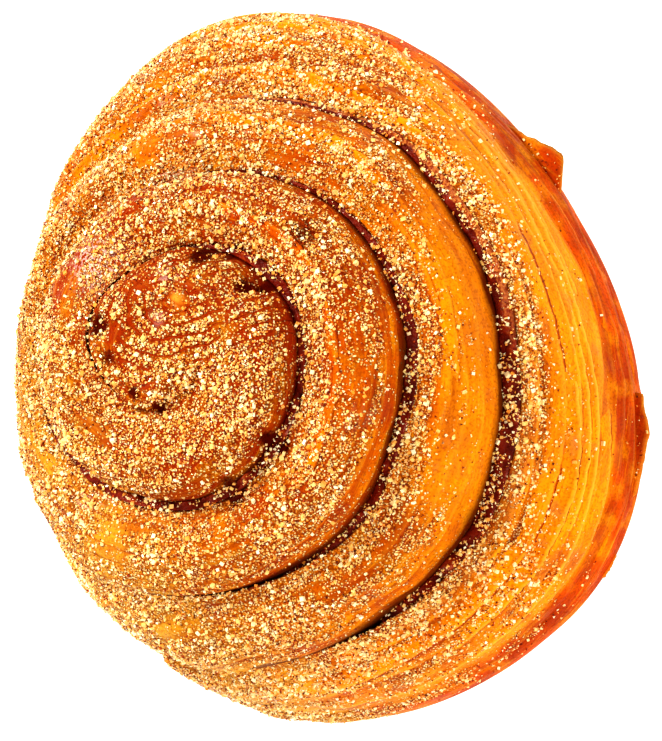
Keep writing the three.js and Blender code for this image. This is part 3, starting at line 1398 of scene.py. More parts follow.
def close_mesh(mesh: bpy.types.Mesh, merge: float) -> None:
    """Merges a mesh's doubled points, caps its open ends and turns its faces outwards.

    Args:
        mesh: the mesh, changed in place.
        merge: points closer than this become one.
    """
    work = bmesh.new()
    work.from_mesh(mesh)
    bmesh.ops.remove_doubles(work, verts=work.verts, dist=merge)
    bmesh.ops.dissolve_degenerate(work, edges=work.edges, dist=merge / 10)
    open_edges = [edge for edge in work.edges if edge.is_boundary]
    filled = bmesh.ops.holes_fill(work, edges=open_edges, sides=0)
    bmesh.ops.triangulate(work, faces=filled["faces"])
    bmesh.ops.recalc_face_normals(work, faces=work.faces)
    work.to_mesh(mesh)
    work.free()


def keep_in_box(mesh: bpy.types.Mesh) -> None:
    """Keeps every point of a mesh inside the box of the whole roll.

    Args:
        mesh: the mesh, changed in place.
    """
    low, high = cad_box
    for vertex in mesh.vertices:
        vertex.co = [min(max(vertex.co[axis], low[axis]), high[axis]) for axis in range(3)]


def joined_mesh(name: str, pieces: Iterable[bpy.types.Object]) -> bpy.types.Mesh:
    """One mesh of several pieces, which stay as they are.

    Args:
        name: the new mesh's name.
        pieces: the pieces.

    Returns:
        The mesh.
    """
    work = bmesh.new()
    for piece in pieces:
        work.from_mesh(piece.data)
    mesh = bpy.data.meshes.new(name)
    work.to_mesh(mesh)
    work.free()
    return mesh


def join(name: str, parts: Iterable[bpy.types.Object], material: bpy.types.Material) -> bpy.types.Object:
    """Makes one smooth piece of several parts, which are removed.

    Args:
        name: the new piece's name.
        parts: the parts.
        material: its material.

    Returns:
        The piece.
    """
    parts = list(parts)
    mesh = joined_mesh(name, parts)
    for part in parts:
        bpy.data.objects.remove(part)
    mesh.materials.append(material)
    keep_one_material(mesh)
    piece = add_object(name, mesh)
    keep_in_box(mesh)
    shade_smooth(piece)
    return piece


def hand_in(piece: bpy.types.Object, slot: Optional[Slot], *nodes: str) -> None:
    """Ties a finished piece to the body and hides the solids that it stands for.

    Args:
        piece: the finished piece.
        slot: not used.
        nodes: the solids that it stands for.
    """
    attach(piece, BODY)
    if nodes:
        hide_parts(*nodes)
    mesh = piece.data
    log.info("%s: %d points, %d faces", piece.name, len(mesh.vertices), len(mesh.polygons))


@dataclass(frozen=True)
class SugarFall:
    """The rule by which falling sugar covers the roll: by the way that it faces, by patches and streaks."""

    north_turned: float = 0.3
    north_turns: tuple[float, float] = (1.0, 2.0)
    steepest: float = -0.1
    level: float = 0.6
    patch_scale: float = 120.0
    least_in_patches: float = 0.4
    drift_scale: float = 48.0
    least_in_drifts: float = 0.74
    streak_along: float = 60.0
    streak_across: float = 800.0
    least_in_streaks: float = 0.5
    tail_turns: tuple[float, float] = (4.06, 4.16)
    lost_down: float = 0.92
    lost_worn: float = 0.6
    lost_scorched: float = 0.7
    lost_on_paste: float = 0.25

    def share(self, recipe: Recipe) -> Value:
        """The share of a place that sugar covers.

        Args:
            recipe: the tree.

        Returns:
            The share, from 0 to 1.
        """
        _, facing_y, facing_z = recipe.parts(recipe.facing())
        place, turn, over = recipe.place(), recipe.recall("turn"), recipe.recall("over")
        x, y, _ = recipe.parts(place)
        upturned = facing_z + facing_y * (self.north_turned * smoothstep(*self.north_turns, turn))
        patches = recipe.noise(place, self.patch_scale)
        drifts = recipe.noise(place, self.drift_scale, 1.0)
        streak = recipe.vector(recipe.recall("along") * self.streak_along, over * self.streak_across, turn)
        streaks = recipe.noise(streak, 1.0)
        before_tail = 1 - smoothstep(*self.tail_turns, turn)
        kept_on = 1 - self.lost_down * smoothstep(0.0, 0.25, recipe.recall("down")) * before_tail
        spread = between(self.least_in_patches, 1.0, smoothstep(0.3, 0.52, patches))
        spread = spread * between(self.least_in_streaks, 1.0, smoothstep(0.4, 0.56, streaks))
        spread = spread * between(self.least_in_drifts, 1.0, smoothstep(0.4, 0.52, drifts))
        spread = spread * (1 - self.lost_worn * recipe.recall("worn"))
        spread = spread * (1 - self.lost_scorched * recipe.recall("scorched"))
        spread = spread * (1 - BEAD.share(x, y))
        for stretch in BARE_STRETCHES:
            spread = spread * (1 - stretch.share(turn, over))
        on_paste = 1 - self.lost_on_paste * recipe.recall("paste")
        return smoothstep(self.steepest, self.level, upturned) * spread * kept_on * on_paste


SUGAR_FALL = SugarFall()


@dataclass
class Dough:
    """The strip of dough, wound round from the eye to the tail."""

    rule: SpiralRule
    columns: int = 1000
    rows_inner: int = 5
    rows_shown: int = 82
    rows_outer: int = 5
    rows_under: int = 2
    crowding: float = 0.6
    fine_pitch: float = 1.9 * MM
    bare_pitch: float = 2.9 * MM
    fine_relief: float = 0.1 * MM
    bare_relief: float = 0.2 * MM
    drift_along: float = 16.0
    drift_across: float = 12.0
    drift_leaves: float = 1.5
    tangle_along: float = 26.0
    tangle_across: float = 90.0
    tangle_leaves: float = 2.4
    fading_along: float = 24.0
    fading_leaves: float = 1.7
    worn_along: float = 70.0
    worn_across: float = 220.0
    blister_scale: float = 170.0
    blister_relief: float = 0.45 * MM
    crumb_scale: float = 620.0
    crumb_relief: float = 0.16 * MM
    no_seam: float = 60 * MM
    merge: float = 0.02 * MM

    def _shares(self, row: Socket) -> tuple[Value, Value, Value, Value]:
        """How far a point is up the inner face, over the top, down the outer face and back underneath.

        Args:
            row: its share of the way round the strip.

        Returns:
            Its share of each of the four.
        """
        counts = (self.rows_inner, self.rows_shown, self.rows_outer, self.rows_under)
        step = row * float(sum(counts))
        shares = []
        for count in counts:
            shares.append(clamp(step / count))
            step = step - count
        return tuple(shares)

    def _wind(self, recipe: Recipe) -> Socket:
        """The strip without relief, with what later nodes and the finish read kept at each point.

        Args:
            recipe: the tree.

        Returns:
            The strip.
        """
        rule = self.rule.with_inputs(recipe)
        rows = self.rows_inner + self.rows_shown + self.rows_outer + self.rows_under + 1
        sheet, column, row = recipe.grid(recipe.size("Columns", self.columns), rows)
        turn = between(rule.first_turn, rule.last_turn, power(column, self.crowding))
        up, share, fall, back = self._shares(row)
        point = rule.section(turn, share)
        outer = rule.outer_place(turn)
        place = place_between(point.place, outer, fall)
        place = place_between(place, rule.inner_place(turn), back)
        height = point.height * up * (1 - fall)
        shown = smoothstep(0.0, 0.05, share) * (1 - smoothstep(0.0, 0.2, fall))
        covered = 1 - point.bare
        edge = (1 - covered * smoothstep(0.93, 1.0, share)) * shown
        top = apart(outer, rule.inner_place(turn)) + rule.crown
        to_outer = between(top - point.distance, self.no_seam, point.bare)
        seam = smaller(point.distance, to_outer)
        kept = {
            "turn": turn,
            "along": rule.length_to(turn),
            "over": point.distance,
            "across": point.across,
            "down": point.down * point.bare,
            "bare": point.bare,
            "edge": edge,
            "seam": larger(seam, 0.0) * shown,
        }
        for name, value in kept.items():
            sheet = recipe.store(sheet, name, value)
        return recipe.move(sheet, Position=recipe.vector(*place, height))

    def _raise_leaves(self, recipe: Recipe, sheet: Socket) -> Socket:
        """The leaves of the dough, which stand out along the strip, and the blisters of its crust.

        Args:
            recipe: the tree.
            sheet: the strip without relief.

        Returns:
            The strip.
        """
        along, over = recipe.recall("along"), recipe.recall("over")
        bare, turn, down = recipe.recall("bare"), recipe.recall("turn"), recipe.recall("down")
        edge = recipe.recall("edge")
        side = bare * between(0.65, 1.0, smoothstep(0.0, 0.2, down))
        drifting = recipe.vector(along * self.drift_along, over * self.drift_across, turn * 0.3)
        drift = recipe.noise(drifting, 1.0, 1.0) * self.drift_leaves
        tangled = recipe.vector(along * self.tangle_along, over * self.tangle_across, turn)
        tangle = recipe.noise(tangled, 1.0, 1.0) * self.tangle_leaves
        leaf = over / between(self.fine_pitch, self.bare_pitch, side) + between(tangle, drift, bare)
        past = remainder(leaf)
        rise = smoothstep(0.0, 0.8, past) * (1 - smoothstep(0.86, 1.0, past))
        # A band at the top of each leaf's rise, where a faint painted highlight goes.
        lip = smoothstep(0.6, 0.8, past) * (1 - smoothstep(0.84, 0.94, past))
        fading = recipe.vector(along * self.fading_along, leaf * self.fading_leaves, turn)
        strength = recipe.noise(fading, 1.0, 1.0)
        height = between(self.fine_relief, self.bare_relief, side) * smoothstep(0.32, 0.58, strength) * 1.6
        blister = recipe.noise(recipe.place(), self.blister_scale, 1.5) - 0.5
        crumb = recipe.noise(recipe.place(), self.crumb_scale, 2.0) - 0.5
        relief = (rise - 0.6) * height + blister * self.blister_relief * 2 + crumb * self.crumb_relief * 2
        x, y, _ = recipe.parts(recipe.place())
        relief = relief + BEAD.share(x, y) * BEAD_LIFT
        scorched: Value = 0.0
        for pit in PITS:
            dent = pit.share(x, y)
            scorched = larger(scorched, dent * pit.char)
            relief = relief - dent * pit.depth
        wearing = recipe.vector(along * self.worn_along, over * self.worn_across, turn + 9.0)
        elongated = recipe.noise(wearing, 1.0)
        covered = 1 - bare
        flank = covered * smoothstep(0.8, 1.0, recipe.recall("across"))
        flank = flank * (1 - smoothstep(1.0, 2.6, turn) * 0.6)
        sheet = recipe.store(sheet, "scorched", scorched)
        sheet = recipe.store(sheet, "worn", larger(smoothstep(0.5, 0.64, elongated), flank))
        kept = smoothstep(0.35, 0.6, strength)
        # Painted shade in the low parts between the leaves' rises.
        sheet = recipe.store(sheet, "crease", (1 - rise) * kept * 0.7)
        # Faint painted highlight at the top of each leaf's rise.
        sheet = recipe.store(sheet, "lip", lip * kept * 0.15)
        sheet = recipe.move(sheet, Offset=recipe.facing() * (relief * edge))
        sheet = recipe.store(sheet, "sugared", SUGAR_FALL.share(recipe))
        return recipe.handle(sheet, self.rule.axis)

    def build(self, crust: bpy.types.Material) -> bpy.types.Object:
        """Makes the strip.

        Args:
            crust: its material.

        Returns:
            The piece.
        """
        recipe = Recipe("wind_strip")
        sheet = self._wind(recipe)
        sheet = self._raise_leaves(recipe, sheet)
        recipe.finish(sheet, crust)
        piece = recipe.make("dough_strip")
        close_mesh(piece.data, self.merge)
        keep_in_box(piece.data)
        shade_smooth(piece)
        return piece


@dataclass(frozen=True)
class Leaf:
    """The edge of one leaf of the dough, which shows along the outside of the last turn.

    Its level is how far over the strip it lies: 1 at the outer shoulder and 2 at the foot.
    """

    level: float
    start_turn: float
    end_turn: float
    reach: float
    lift: float
    # How strongly the painted highlight along its edge shows.
    lip: float
    # How strongly the painted shade in the fold below its edge shows.
    crease: float


LEAVES = (
    Leaf(0.40, 3.36, 4.27, 3.0 * MM, 0.60 * MM, 0.5, 0.5),
    Leaf(0.62, 3.30, 4.27, 3.0 * MM, 0.80 * MM, 0.2, 1.0),
    Leaf(0.73, 3.34, 4.16, 1.6 * MM, 0.45 * MM, 0.5, 0.6),
    Leaf(0.79, 3.55, 4.08, 1.2 * MM, 0.40 * MM, 0.8, 0.6),
    Leaf(0.83, 3.40, 4.01, 1.0 * MM, 0.30 * MM, 0.5, 0.5),
    Leaf(0.87, 3.34, 4.22, 1.2 * MM, 0.50 * MM, 0.8, 0.8),
    Leaf(0.92, 3.60, 4.04, 1.0 * MM, 0.35 * MM, 0.5, 0.5),
    Leaf(1.00, 3.34, 4.12, 1.6 * MM, 0.50 * MM, 0.3, 0.8),
    Leaf(1.22, 3.40, 3.98, 2.2 * MM, 0.35 * MM, 0.1, 0.4),
    Leaf(1.45, 3.36, 4.27, 2.6 * MM, 0.40 * MM, 0.2, 0.6),
    Leaf(1.75, 3.40, 4.25, 2.6 * MM, 0.50 * MM, 0.2, 0.7),
    Leaf(0.70, 3.97, 4.10, 2.2 * MM, 1.40 * MM, 0.8, 1.0),
    Leaf(0.62, 2.60, 3.02, 2.0 * MM, 0.45 * MM, 0.2, 0.6),
    Leaf(0.50, 1.78, 2.10, 2.4 * MM, 0.50 * MM, 0.1, 0.7),
)


@dataclass
class LeafEdges:
    """The edges of the dough's leaves, each a thin strip that rises to a lip and follows the spiral."""

    rule: SpiralRule
    columns: int = 460
    rows: int = 15
    lip_share: float = 0.5
    crease_share: float = 0.75
    crease_width: float = 0.3 * MM
    lip_width: float = 0.17 * MM
    crease_lift: float = 0.12 * MM
    buried: float = 0.5 * MM
    wander: float = 2.2 * MM
    wander_scale: float = 22.0
    ragged: float = 0.5 * MM
    ragged_scale: float = 420.0
    fading_scale: float = 34.0
    shift: float = 3.7
    merge: float = 0.005 * MM

    def _lay(self, recipe: Recipe) -> Socket:
        """One leaf's edge, by the tree's inputs.

        Args:
            recipe: the tree.

        Returns:
            The edge.
        """
        rule = self.rule
        level = recipe.size("Level", 0.5)
        start, end = recipe.size("Start turn", 3.4), recipe.size("End turn", 4.2)
        reach, lift = recipe.size("Reach", 2 * MM), recipe.size("Lift", 0.4 * MM)
        # How strongly the painted highlight along the edge and the painted shade in the fold below it show.
        lip, crease = recipe.size("Lip", 0.5), recipe.size("Crease", 0.5)
        shift = recipe.size("Shift", 0.0)
        sheet, column, row = recipe.grid(recipe.size("Columns", self.columns), self.rows)
        turn = between(start, end, column)
        along = rule.length_to(turn)
        wander = recipe.noise(recipe.vector(along * self.wander_scale, shift, 0.0), 1.0, 1.0) - 0.5
        ragged = recipe.noise(recipe.vector(along * self.ragged_scale, shift, 3.0), 1.0) - 0.5
        strength = recipe.noise(recipe.vector(along * self.fading_scale, shift, 7.0), 1.0, 1.0)
        ends = smoothstep(0.0, 0.08, column) * smoothstep(1.0, 0.92, column)
        strength = smoothstep(0.32, 0.55, strength) * ends
        out = clamp(row / self.lip_share)
        past = clamp((row - self.lip_share) / (self.crease_share - self.lip_share))
        back = clamp((row - self.crease_share) / (1 - self.crease_share))
        edge = rule.distance_at(turn, level) + wander * self.wander + ragged * self.ragged
        reached = self.crease_width * past - (reach + self.crease_width) * back - reach * (1 - out)
        point = rule.section(turn, distance=edge + reached)
        rise = lift * strength * out * out - self.buried * (1 - smoothstep(0.0, 0.4, out * strength))
        low = self.crease_lift - self.buried * (1 - smoothstep(0.0, 0.4, strength))
        rise = between(rise, low, smoothstep(0.0, 0.3, past))
        rise = between(rise, 0.0 - self.buried, smoothstep(0.0, 0.4, back))
        on_lip = smoothstep(-1.4, -0.6, (out - 1) * reach / self.lip_width)
        kept = {
            "turn": turn,
            "along": along,
            "over": point.distance,
            "down": point.down,
            # Painted shade in the fold that turns back under the edge.
            "crease": smoothstep(0.1, 0.4, past) * crease,
            # Painted highlight along the top of the edge.
            "lip": on_lip * (1 - smoothstep(0.0, 0.25, past)) * lip,
            "seam": CLEAR_OF_SEAMS,
        }
        for name, value in kept.items():
            sheet = recipe.store(sheet, name, value)
        aside = rise * sine(point.slope)
        place = (point.place[0] + point.outward[0] * aside, point.place[1] + point.outward[1] * aside)
        height = larger(point.height + rise * cosine(point.slope), 0.0)
        sheet = recipe.move(sheet, Position=recipe.vector(*place, height))
        return recipe.handle(sheet, rule.axis)

    def build(self, crust: bpy.types.Material) -> bpy.types.Object:
        """Lays every leaf's edge and joins them.

        Args:
            crust: the dough's material.

        Returns:
            The piece.
        """
        recipe = Recipe("lay_leaf")
        recipe.finish(self._lay(recipe), crust)
        laid = []
        for number, leaf in enumerate(LEAVES):
            sizes = {
                "level": leaf.level,
                "start_turn": leaf.start_turn,
                "end_turn": leaf.end_turn,
                "reach": leaf.reach,
                "lift": leaf.lift,
                "lip": leaf.lip,
                "crease": leaf.crease,
                "shift": number * self.shift,
            }
            edge = recipe.make(f"leaf_{number}", **sizes)
            close_mesh(edge.data, self.merge)
            laid.append(edge)
        return join("leaf_edges", laid, crust)


@dataclass(frozen=True)
class LiftedLeaf:
    """A leaf of dough that has come away from the side and stands out from it."""

    direction: float
    height: float
    width: float
    reach: float
    thickness: float
    droop: float
    breadth: float

    @classmethod
    def of(cls, direction: float, *sizes: float, droop: float, breadth: float) -> "LiftedLeaf":
        """A leaf from degrees and millimetres.

        Args:
            direction: its direction from the roll's axis, in degrees.
            sizes: its height, width, reach and thickness, in millimetres.
            droop: how far it hangs, in radians.
            breadth: how blunt it is, from 1 for a sharp one.

        Returns:
            The leaf.
        """
        height, width, reach, thickness = (size * MM for size in sizes)
        return cls(math.radians(direction), height, width, reach, thickness, droop, breadth)


LIFTED_LEAVES = (
    LiftedLeaf.of(-31.8, 5.5, 19, 4.3, 1.8, droop=0.1, breadth=1.0),
    LiftedLeaf.of(-90, 3.8, 16, 2.3, 1.8, droop=0.1, breadth=2.4),
    LiftedLeaf.of(-108, 2.4, 7, 1.6, 1.2, droop=0.0, breadth=2.0),
)


@dataclass
class LiftedLeaves:
    """The leaves that stand out from the side of the roll."""

    rule: SpiralRule
    columns: int = 33
    rows: int = 25
    root: float = 4 * MM
    tip_aside: float = -0.3
    tip_thinning: float = 0.65
    ragged: float = 0.9 * MM
    torn_scale: float = 9.0
    swell_aside: float = 5.0
    swell_out: float = 3.0
    shown_turn: float = 3.8
    merge: float = 0.005 * MM

    def _cut(self, recipe: Recipe) -> Socket:
        """One leaf, by the tree's inputs.

        Args:
            recipe: the tree.

        Returns:
            The leaf.
        """
        x, y = recipe.size("Place x", 0.0), recipe.size("Place y", 0.0)
        height, direction = recipe.size("Height", 10 * MM), recipe.size("Direction", 0.0)
        width, reach = recipe.size("Width", 8 * MM), recipe.size("Reach", 3 * MM)
        thickness, droop = recipe.size("Thickness", 2 * MM), recipe.size("Droop", 0.1)
        breadth = recipe.size("Breadth", 1.0)
        sheet, column, row = recipe.grid(self.columns, self.rows)
        aside = column - 0.5
        before = (aside + 0.5) / (0.5 + self.tip_aside)
        after = (0.5 - aside) / (0.5 - self.tip_aside)
        torn = recipe.noise(recipe.vector(column * self.torn_scale, direction, 0.0), 1.0) - 0.5
        tip = reach * smaller(smaller(before, after) * breadth, 1.0) + torn * self.ragged
        out = 1 - absolute(2 * row - 1)
        over = smoothstep(0.47, 0.53, 1 - row)
        swollen = recipe.vector(column * self.swell_aside, out * self.swell_out, direction)
        swell = recipe.noise(swollen, 1.0) - 0.5
        thick = thickness * (1 - self.tip_thinning * out)
        reached = between(0.0 - self.root, tip, out)
        risen = (thickness - thick) * 0.5 + thick * over + swell * thickness * 0.3
        forth = reached * cosine(droop) + risen * sine(droop)
        up = risen * cosine(droop) - reached * sine(droop)
        side = aside * width
        place_x = x + forth * cosine(direction) - side * sine(direction)
        place_y = y + forth * sine(direction) + side * cosine(direction)
        kept = {
            "turn": self.shown_turn,
            "along": side,
            "over": reached,
            "down": 0.2,
            # Painted highlight along the top of the tip.
            "lip": smoothstep(0.9, 1.0, out) * over,
            "seam": CLEAR_OF_SEAMS,
        }
        for name, value in kept.items():
            sheet = recipe.store(sheet, name, value)
        return recipe.move(sheet, Position=recipe.vector(place_x, place_y, height + up))

    def build(self, crust: bpy.types.Material) -> bpy.types.Object:
        """Cuts every leaf and joins them.

        Args:
            crust: the dough's material.

        Returns:
            The piece.
        """
        recipe = Recipe("cut_leaf")
        recipe.finish(self._cut(recipe), crust)
        cut = []
        for number, leaf in enumerate(LIFTED_LEAVES):
            x, y = self.rule.outer_place(self.rule.bare_turn_at(leaf.direction))
            sizes = {
                "place_x": x,
                "place_y": y,
                "height": leaf.height,
                "direction": leaf.direction,
                "width": leaf.width,
                "reach": leaf.reach,
                "thickness": leaf.thickness,
                "droop": leaf.droop,
                "breadth": leaf.breadth,
            }
            piece = recipe.make(f"lifted_{number}", **sizes)
            close_mesh(piece.data, self.merge)
            cut.append(piece)
        return join("lifted_leaves", cut, crust)


@dataclass
class EyeDome:
    """The low dome of dough at the eye, which the first turn closes on."""

    rule: SpiralRule
    radius: float = 7.2 * MM
    cap: float = 2.0 * MM
    skirt: float = 12 * MM
    rings: int = 30
    spokes: int = 96
    shown_turn: float = 0.1
    sugared: float = 0.7
    merge: float = 0.005 * MM

    def build(self, material: bpy.types.Material) -> bpy.types.Object:
        """Makes the dome.

        Args:
            material: the crust's material.

        Returns:
            The piece.
        """
        eye = self.rule.middle(0.0)
        rim = self.rule.eye_height + self.rule.crown - self.cap
        work = bmesh.new()
        layers = {name: work.verts.layers.float.new(name) for name in ("over", "turn", "seam", "sugared")}

        def add_point(x: float, y: float, height: float) -> bmesh.types.BMVert:
            """Adds a point of the dome, with what the crust's finish reads there.

            Args:
                x: the point's first coordinate.
                y: its second.
                height: its third.

            Returns:
                The point.
            """
            point = work.verts.new((x, y, height))
            point[layers["over"]] = FOLDS.away(x, y)
            point[layers["turn"]] = self.shown_turn
            point[layers["seam"]] = CLEAR_OF_SEAMS
            point[layers["sugared"]] = self.sugared
            return point

        rows = [(self.radius, rim - self.skirt)]
        rows += [self._ring(math.pi / 2 * ring / self.rings, rim) for ring in range(self.rings)]
        loops = []
        for radius, height in rows:
            angles = [TAU * spoke / self.spokes for spoke in range(self.spokes)]
            loops.append([
                add_point(eye[0] + radius * math.cos(angle), eye[1] + radius * math.sin(angle), height)
                for angle in angles
            ])
        for lower, upper in zip(loops, loops[1:]):
            for spoke in range(self.spokes):
                beside = (spoke + 1) % self.spokes
                work.faces.new((lower[spoke], lower[beside], upper[beside], upper[spoke]))
        work.faces.new(list(reversed(loops[0])))
        top = add_point(*eye, rim + self.cap)
        for spoke in range(self.spokes):
            work.faces.new((loops[-1][spoke], loops[-1][(spoke + 1) % self.spokes], top))
        mesh = bpy.data.meshes.new("eye_dome")
        work.to_mesh(mesh)
        work.free()
        mesh.materials.append(material)
        piece = add_object("eye_dome", mesh)
        close_mesh(mesh, self.merge)
        shade_smooth(piece)
        return piece

    def _ring(self, angle: float, rim: float) -> tuple[float, float]:
        """A ring of the dome, some way up its curve."""
        return self.radius * math.cos(angle), rim + self.cap * math.sin(angle)


@dataclass
class Filling:
    """The cinnamon paste that stands in the seam and follows it all the way round."""

    rule: SpiralRule
    finish: FillingFinish = field(default_factory=FillingFinish)
    first_turn: float = 0.4
    last_turn: float = 3.15
    air: float = 0.05 * MM
    least_half: float = 0.04 * MM
    standing: float = 0.6 * MM
    clearance: float = 1 * MM
    columns: int = 900
    rows_wall: int = 3
    rows_top: int = 8
    lump_scale: float = 420.0
    lump_relief: float = 0.9 * MM
    merge: float = 0.01 * MM

    def build(self) -> bpy.types.Object:
        """Makes the filling.

        Returns:
            The piece.
        """
        recipe = Recipe("fill_seam")
        rule = self.rule.with_inputs(recipe)
        rows = 2 * self.rows_wall + self.rows_top + 2
        sheet, column, row = recipe.grid(recipe.size("Columns", self.columns), rows)
        turn = between(self.first_turn, self.last_turn, column)
        step = row * float(rows - 1)
        up = clamp(step / self.rows_wall)
        share = clamp((step - self.rows_wall) / self.rows_top)
        fall = clamp((step - self.rows_wall - self.rows_top) / self.rows_wall)
        back = clamp(step - 2 * self.rows_wall - self.rows_top)
        half = larger(rule.seam_width(turn) / 2 - self.air, self.least_half)
        beyond = half * (2 * share - 1) * (1 - 2 * back)
        top = rule.seam_height(turn) + self.standing
        height = self.clearance + (top - self.clearance) * up * (1 - fall)
        sheet = recipe.store(sheet, "topping", up * (1 - fall))
        sheet = recipe.store(sheet, "turn", turn)
        sheet = recipe.store(sheet, "over", beyond)
        sheet = recipe.store(sheet, "side", share)
        sheet = recipe.store(sheet, "paste", 1.0)
        sheet = recipe.move(sheet, Position=recipe.vector(*rule.seam_place(turn, beyond), height))
        lump = recipe.noise(recipe.place(), self.lump_scale, 2.0) - 0.5
        lift = lump * self.lump_relief * 2 * recipe.recall("topping")
        sheet = recipe.move(sheet, Offset=recipe.vector(0.0, 0.0, lift))
        sheet = recipe.handle(sheet, self.rule.axis)
        recipe.finish(sheet, self.finish.build())
        piece = recipe.make("cinnamon_paste")
        close_mesh(piece.data, self.merge)
        shade_smooth(piece)
        return piece


class Grain(Enum):
    """The kinds of grain on the crust: piece name, finish, sides, size, how many to a square metre, seed.

    A grain with four sides is a cube, one with three a blunt wedge, and one with none a splinter.
    """

    COARSE = ("sugar_coarse", SUGAR, 4, 0.58 * MM, 0.36e6, 11)
    MEDIUM = ("sugar_medium", SUGAR, 4, 0.44 * MM, 1.35e6, 12)
    SMALL = ("sugar_small", SUGAR, 3, 0.37 * MM, 2.5e6, 13)
    FINE = ("sugar_fine", SUGAR, 0, 0.34 * MM, 4.6e6, 14)
    MEAL = ("sugar_meal", SUGAR, 0, 0.26 * MM, 4.6e6, 15)
    DUST = ("cinnamon_specks", CINNAMON, 0, 0.34 * MM, 3.4e6, 16)


@dataclass
class Sprinkle:
    """Grains strewn over what faces up, as sugar that fell on the dough before it was baked."""

    bed: bpy.types.Mesh
    sunk: float = 0.2
    clump_scale: float = 620.0
    edge_margin: float = 1.15
    edge_fade: float = 0.1 * MM
    shortest: float = 0.4
    longest: float = 1.2
    off_folds: float = 0.45
    wedge_base: float = 0.65
    wedge_top: float = 0.55

    def _how_dense(self, recipe: Recipe, side: Socket) -> Value:
        """The share of the full number of grains that a place holds.

        Args:
            recipe: the tree.
            side: the size of a grain.

        Returns:
            The share, from 0 to 1.
        """
        clumps = recipe.noise(recipe.place(), self.clump_scale, 1.0)
        fallen = SUGAR_FALL.share(recipe) * smoothstep(0.36, 0.58, clumps)
        x, y, z = recipe.parts(recipe.place())
        low, high = cad_box
        room = smaller(
            smaller(smaller(x - low[0], high[0] - x), smaller(y - low[1], high[1] - y)),
            smaller(z - low[2], high[2] - z),
        )
        margin = side * self.edge_margin
        inside = clamp((room - margin) / self.edge_fade)
        return fallen * inside

    def _grain_shape(self, recipe: Recipe, sides: int) -> Socket:
        """One grain of unit size, closed and with few faces.

        Args:
            recipe: the tree.
            sides: 4 for a cube, 3 for a wedge, 0 for a splinter.

        Returns:
            The grain.
        """
        if sides == 4:
            return recipe.node("GeometryNodeMeshCube", inputs={0: (1.0, 1.0, 1.0)})
        tip = self.wedge_top if sides else 0.0
        inputs = {"Vertices": 3, "Radius Top": tip, "Radius Bottom": self.wedge_base, "Depth": 1.0}
        return recipe.node("GeometryNodeMeshCone", inputs=inputs)

    def _random_vector(self, recipe: Recipe, least: float, most: float, seed: int) -> Socket:
        """A vector for each grain, each of its values between two numbers."""
        inputs = {0: (least,) * 3, 1: (most,) * 3, "Seed": seed}
        return recipe.node("FunctionNodeRandomValue", {"data_type": "FLOAT_VECTOR"}, inputs)

    def build(self, grain: Grain) -> bpy.types.Object:
        """Strews one kind of grain.

        Args:
            grain: the kind.

        Returns:
            The piece.
        """
        name, finish, sides, side, density, seed = grain.value
        recipe = Recipe(f"strew_{name}")
        side_size = recipe.size("Side", side)
        dense = recipe.size("Density", density)
        chance = recipe.size("Seed", seed)
        scattered = recipe.node(
            "GeometryNodeDistributePointsOnFaces",
            {"distribute_method": "RANDOM"},
            {"Mesh": recipe.given(), "Density": dense * self._how_dense(recipe, side_size), "Seed": chance},
            "Points",
        )
        spin = self._random_vector(recipe, 0.0, TAU, seed + 1)
        stretch = self._random_vector(recipe, self.shortest, self.longest, seed + 2)
        crystal = self._grain_shape(recipe, sides)
        folded = FOLDS.lines(recipe, recipe.place(), recipe.recall("turn"), FOLDS.half_band)
        inputs = {
            "Points": scattered,
            "Selection": self.off_folds - folded,
            "Instance": crystal,
            "Rotation": spin,
            "Scale": stretch * side_size,
        }
        laid = recipe.node("GeometryNodeInstanceOnPoints", inputs=inputs)
        lifted = recipe.node(
            "GeometryNodeTranslateInstances",
            inputs={
                "Instances": laid,
                "Translation": recipe.vector(0.0, 0.0, side_size * (0.5 - self.sunk)),
                "Local Space": False,
            },
        )
        tint = recipe.node("FunctionNodeRandomValue", {"data_type": "FLOAT"}, {"Seed": seed + 3}, 1)
        settings = {"data_type": "FLOAT", "domain": "INSTANCE"}
        inputs = {"Geometry": lifted, "Name": "tint", "Value": tint}
        tinted = recipe.node("GeometryNodeStoreNamedAttribute", settings, inputs)
        recipe.finish(tinted, finish.build())
        piece = recipe.make(name, self.bed.copy())
        keep_in_box(piece.data)
        return piece


# ---------------------------------------------------------------- studio


@dataclass(frozen=True)
class Lamp:
    """A soft square lamp: its place, the length of its side, its power in watts and its colour."""

    name: str
    place: tuple[float, float, float]
    size: float
    watts: float
    warmth: Colour


LAMPS = (
    Lamp("key", (0.30, 0.42, 0.62), 0.2, 5.2, (1.0, 0.95, 0.86, 1.0)),
    Lamp("fill", (-0.15, -0.75, 0.55), 0.5, 4.6, (1.0, 0.93, 0.84, 1.0)),
    Lamp("left", (-0.55, 0.35, 0.50), 0.4, 1.7, (1.0, 0.9, 0.76, 1.0)),
)


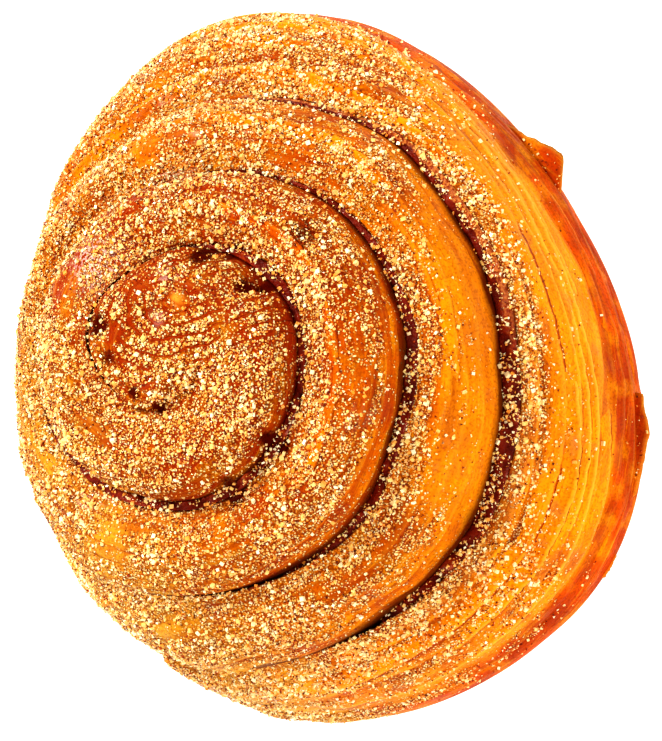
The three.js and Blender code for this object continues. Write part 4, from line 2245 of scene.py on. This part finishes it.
@dataclass
class Studio:
    """A plain pale floor, soft lights and the camera."""

    aim: Vector = field(default_factory=lambda: Vector((0.83, -2.65, 16.5)) * MM)
    elevation: float = math.radians(62)
    roll: float = math.radians(78.2)
    distance: float = 520 * MM
    focal_pixels: float = 3515.0
    sensor: float = 36.0
    floor_side: float = 6.0
    floor_colour: Colour = (0.4, 0.4, 0.4, 1.0)
    floor_glow: float = 0.8
    sky_colour: Colour = (1.0, 0.94, 0.86, 1.0)
    sky_glow: float = 0.3

    def add_camera(self) -> None:
        """The camera, above the roll and rolled on its side as the roll is seen."""
        back = Vector((0.0, -math.cos(self.elevation), math.sin(self.elevation)))
        level_right = Vector((1.0, 0.0, 0.0))
        level_up = back.cross(level_right)
        right = level_right * math.cos(self.roll) - level_up * math.sin(self.roll)
        up = level_right * math.sin(self.roll) + level_up * math.cos(self.roll)
        data = bpy.data.cameras.new("camera")
        data.sensor_width = self.sensor
        data.lens = self.focal_pixels / IMAGE_LONG_SIDE * self.sensor
        camera = add_object("camera", data)
        turned = Matrix((right, up, back)).transposed().to_4x4()
        camera.matrix_world = Matrix.Translation(self.aim + back * self.distance) @ turned
        bpy.context.scene.camera = camera

    def add_light(self, lamp: Lamp) -> None:
        """Hangs a lamp so that it faces the roll.

        Args:
            lamp: the lamp.
        """
        data = bpy.data.lights.new(lamp.name, "AREA")
        data.size = lamp.size
        data.energy = lamp.watts
        data.color = lamp.warmth[:3]
        light = add_object(lamp.name, data)
        way = self.aim - Vector(lamp.place)
        turned = way.to_track_quat("-Z", "Y").to_matrix().to_4x4()
        light.matrix_world = Matrix.Translation(lamp.place) @ turned

    def add_floor(self) -> None:
        """The pale floor."""
        work = bmesh.new()
        bmesh.ops.create_grid(work, x_segments=1, y_segments=1, size=self.floor_side / 2)
        mesh = bpy.data.meshes.new("floor")
        work.to_mesh(mesh)
        work.free()
        material, graph = new_material("pale_floor")
        close_material(graph, {
            "Base Color": self.floor_colour,
            "Roughness": 0.9,
            "Emission Color": WHITE,
            "Emission Strength": self.floor_glow,
        })
        mesh.materials.append(material)
        floor = add_object("floor", mesh)
        floor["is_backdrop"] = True

    def build(self) -> None:
        """Sets the studio up."""
        self.add_camera()
        self.add_floor()
        for lamp in LAMPS:
            self.add_light(lamp)
        world = bpy.data.worlds.new("soft_sky")
        world.use_nodes = True
        background = world.node_tree.nodes["Background"]
        background.inputs["Color"].default_value = self.sky_colour
        background.inputs["Strength"].default_value = self.sky_glow
        bpy.context.scene.world = world
        bpy.context.scene.view_settings.view_transform = "Standard"
        bpy.context.scene.view_settings.look = "High Contrast"


def main() -> None:
    """Builds the roll piece by piece."""
    logging.basicConfig(level=logging.INFO, format="%(name)s %(message)s")
    rule = SpiralRule()
    crust = CrustFinish().build()
    dough = Dough(rule).build(crust)
    hand_in(dough, Slot.DOUGH, "pastry_dough")
    dome = EyeDome(rule).build(crust)
    hand_in(dome, Slot.DOUGH, "pastry_dough")
    filling = Filling(rule).build()
    hand_in(filling, Slot.FILLING, "cinnamon_filling")
    edges = LeafEdges(rule).build(crust)
    hand_in(edges, Slot.DOUGH, "pastry_dough")
    lifted = LiftedLeaves(rule).build(crust)
    hand_in(lifted, Slot.DOUGH, "pastry_dough")
    sprinkle = Sprinkle(joined_mesh("bed", [dough, dome, filling, edges, lifted]))
    for grain in Grain:
        hand_in(sprinkle.build(grain), None, "pastry_dough")
    Studio().build()
    boxes = {"cad": cad_box, "visual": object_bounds()}
    {name: [list(corner) for corner in box] for name, box in boxes.items()}


if __name__ == "__main__":
    main()
